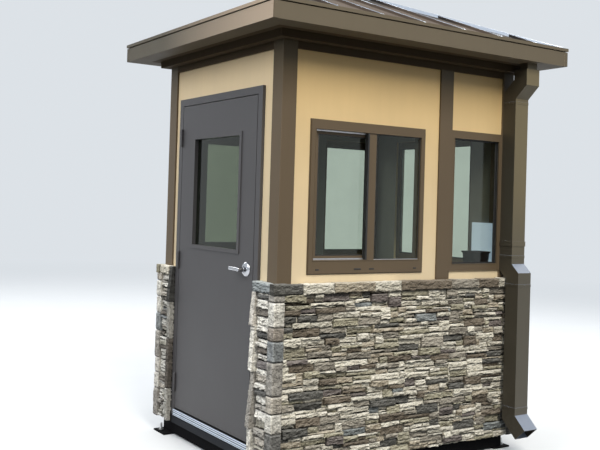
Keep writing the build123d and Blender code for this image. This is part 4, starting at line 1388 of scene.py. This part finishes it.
def cap_screws():
    """Washer-headed screws along both edges of the hip and ridge caps."""
    bm = bmesh.new()
    up = 1 / math.sqrt(1 + ROOF_SLOPE ** 2)
    flat = ROOF_SLOPE * up

    def add_screw(x, y, lean_x, lean_y):
        place = (x, y, roof_height(x, y) + CAP_RISE)
        add_rivet(bm, place, (lean_x * flat, lean_y * flat, up), 0.0055, 0.0030)

    for k in range(5):
        x = -HALF_RIDGE + 2 * HALF_RIDGE * (k + 0.5) / 5
        for sy in (-1, 1):
            add_screw(x, sy * CAP_SCREW_OFF, 0, sy)
    off = CAP_SCREW_OFF / math.sqrt(2)
    for sx, sy in CORNERS:
        for k in range(7):
            y = 0.05 + (GUTTER_Y - 0.12) * k / 6
            x = HALF_RIDGE + y
            add_screw(sx * (x + off), sy * (y - off), sx, 0)
            add_screw(sx * (x - off), sy * (y + off), 0, sy)
    piece("cap_screws", bm, [sky_sheen_cap_metal])


# Downspout: its middle and size, and the lap bands as their height and how far the pipe stands off there
PIPE_X = HALF_W - 0.0375
PIPE_HALF = 0.061
PIPE_D = 0.102
LOW_OUT = CAP_PROUD + 0.008
BANDS = ((2.315, 0.0), (1.294, 0.0), (1.108, LOW_OUT), (0.302, LOW_OUT))
STRAP_Z = 1.396


def downspout_fittings():
    """Lap bands where pipe and elbow meet, with their rivets, and the screws of the strap."""
    bm = bmesh.new()
    thick, half_h = 0.0014, 0.009
    side = PIPE_HALF + thick
    for z, out in BANDS:
        y1 = -(HALF_D + out)
        y0 = y1 - PIPE_D
        low = (PIPE_X - side, y0 - thick, z - half_h)
        add_block(bm, low, (PIPE_X + side, y1 - 0.001, z + half_h), 0.0006)
        for s in (-1, 1):
            add_rivet(bm, (PIPE_X + s * side, (y0 + y1) / 2, z), (s, 0, 0), 0.0038, 0.0016)
        add_rivet(bm, (PIPE_X, y0 - thick, z), (0, -1, 0), 0.0038, 0.0016)
    for s in (-1, 1):
        place = (PIPE_X + s * (PIPE_HALF + 0.003), -(HALF_D + PIPE_D / 2), STRAP_Z)
        add_rivet(bm, place, (s, 0, 0), 0.0042, 0.0020)
    piece("downspout_fittings", bm, [downspout_bronze])


finish_solids()
soften_edges()
anchor_bolts()
lever_handles()
lever_rose_discs()
glazing_beads()
window_lips()
sash_tracks()
sash_interlocks()
weep_covers()
door_seals()
hinge_pin_ends()
gutter_fittings()
seam_beads()
cap_screws()
downspout_fittings()


# Camera, floor and light
CAMERA_AT = (-3.6128, -4.5151, 1.5988)
CAMERA_YAW, CAMERA_PITCH, CAMERA_ROLL = 30.693, 0.801, 1.790
CAMERA_LENS = 49.82
CAMERA_SHIFT = (0.1333, -0.0583)


def add_camera():
    """The camera stands where the photograph was taken from."""
    yaw, pitch, roll = (math.radians(a) for a in (CAMERA_YAW, CAMERA_PITCH, CAMERA_ROLL))
    ahead = Vector((math.sin(yaw) * math.cos(pitch), math.cos(yaw) * math.cos(pitch), math.sin(pitch)))
    flat_right = Vector((math.cos(yaw), -math.sin(yaw), 0.0))
    flat_up = flat_right.cross(ahead)
    right = flat_right * math.cos(roll) + flat_up * math.sin(roll)
    up = flat_up * math.cos(roll) - flat_right * math.sin(roll)
    data = bpy.data.cameras.new("camera")
    data.sensor_width = 36.0
    data.lens = CAMERA_LENS
    data.shift_x, data.shift_y = CAMERA_SHIFT
    data.clip_end = 200.0
    camera = bpy.data.objects.new("camera", data)
    bpy.context.scene.collection.objects.link(camera)
    turn = Matrix((right, up, -ahead)).transposed().to_4x4()
    camera.matrix_world = Matrix.Translation(CAMERA_AT) @ turn
    bpy.context.scene.camera = camera


BACKDROP = rgba(0.72, 0.76, 0.80)
SEEN = ("Is Camera Ray", "Is Transmission Ray", "Is Glossy Ray")
FLOOR_SIZE = 60.0
FLOOR_FADE = (5.0, 16.0)
BOUNCE = rgba(0.045, 0.042, 0.036)
SKY_RISE = (0.05, 0.85)
SKY_STRENGTH = (0.30, 1.30)


def add_floor():
    """A wide pale floor that fades into the background far from the booth and lights it only weakly."""
    mat, w, shader = new_material("studio_floor")
    place = w.coords()
    soft = w.cloud(2.0, 3.0, 0.5, place)
    w.join(w.blend(soft, (0.60, 0.61, 0.62), (0.64, 0.65, 0.66)), shader.inputs["Base Color"])
    shader.inputs["Roughness"].default_value = 0.9
    far = w.node("VectorMath", operation="LENGTH")
    w.join(place, far.inputs[0])
    glow = w.node("Emission")
    glow.inputs["Color"].default_value = BACKDROP
    dim = w.node("BsdfDiffuse")
    dim.inputs["Color"].default_value = BOUNCE
    shown = w.mix_shaders(w.span(far.outputs["Value"], *FLOOR_FADE), shader.outputs[0], glow.outputs[0])
    w.join(w.mix_shaders(w.ray_is(*SEEN), dim.outputs[0], shown),
           mat.node_tree.nodes["Material Output"].inputs["Surface"])
    bm = bmesh.new()
    bmesh.ops.create_grid(bm, x_segments=2, y_segments=2, size=FLOOR_SIZE)
    mesh = bpy.data.meshes.new("studio_floor")
    bm.to_mesh(mesh)
    bm.free()
    mesh.materials.append(mat)
    floor = bpy.data.objects.new("studio_floor", mesh)
    bpy.context.scene.collection.objects.link(floor)


def add_sky():
    """A soft dome, dim at the horizon and bright overhead; the camera sees the pale backdrop."""
    world = bpy.data.worlds.new("studio")
    bpy.context.scene.world = world
    world.use_nodes = True
    w = Wiring(world.node_tree)
    light = world.node_tree.nodes["Background"]
    light.inputs["Color"].default_value = rgba(0.90, 0.95, 1.0)
    rise = w.parts(w.node("TexCoord").outputs["Generated"])["Z"]
    w.join(w.span(rise, *SKY_RISE, *SKY_STRENGTH), light.inputs["Strength"])
    shown = w.node("Background")
    shown.inputs["Color"].default_value = BACKDROP
    shown.inputs["Strength"].default_value = 1.0
    w.join(w.mix_shaders(w.ray_is(*SEEN), light.outputs[0], shown.outputs[0]),
           world.node_tree.nodes["World Output"].inputs["Surface"])


def add_lamp(name, place, target_z, size, power, color):
    """A square lamp turned to a height over the middle of the booth."""
    data = bpy.data.lights.new(name, "AREA")
    data.shape = "SQUARE"
    data.size = size
    data.energy = power
    data.color = color
    lamp = bpy.data.objects.new(name, data)
    bpy.context.scene.collection.objects.link(lamp)
    ahead = Vector((0.0, 0.0, target_z)) - Vector(place)
    lamp.matrix_world = Matrix.Translation(place) @ ahead.to_track_quat("-Z", "Y").to_matrix().to_4x4()


add_camera()
add_floor()
add_sky()
add_lamp("key", (-1.6, -6.4, 8.0), 1.2, 4.0, 720.0, (1.0, 0.95, 0.85))
add_lamp("side", (-7.5, -0.4, 6.0), 1.3, 4.0, 370.0, (0.97, 0.98, 1.0))
add_lamp("back", (-1.5, 8.0, 7.0), 1.3, 5.0, 360.0, (1.0, 0.99, 0.97))
add_lamp("far side", (7.5, 1.0, 6.0), 1.3, 5.0, 260.0, (1.0, 0.99, 0.97))

bpy.context.scene.view_settings.view_transform = "Standard"
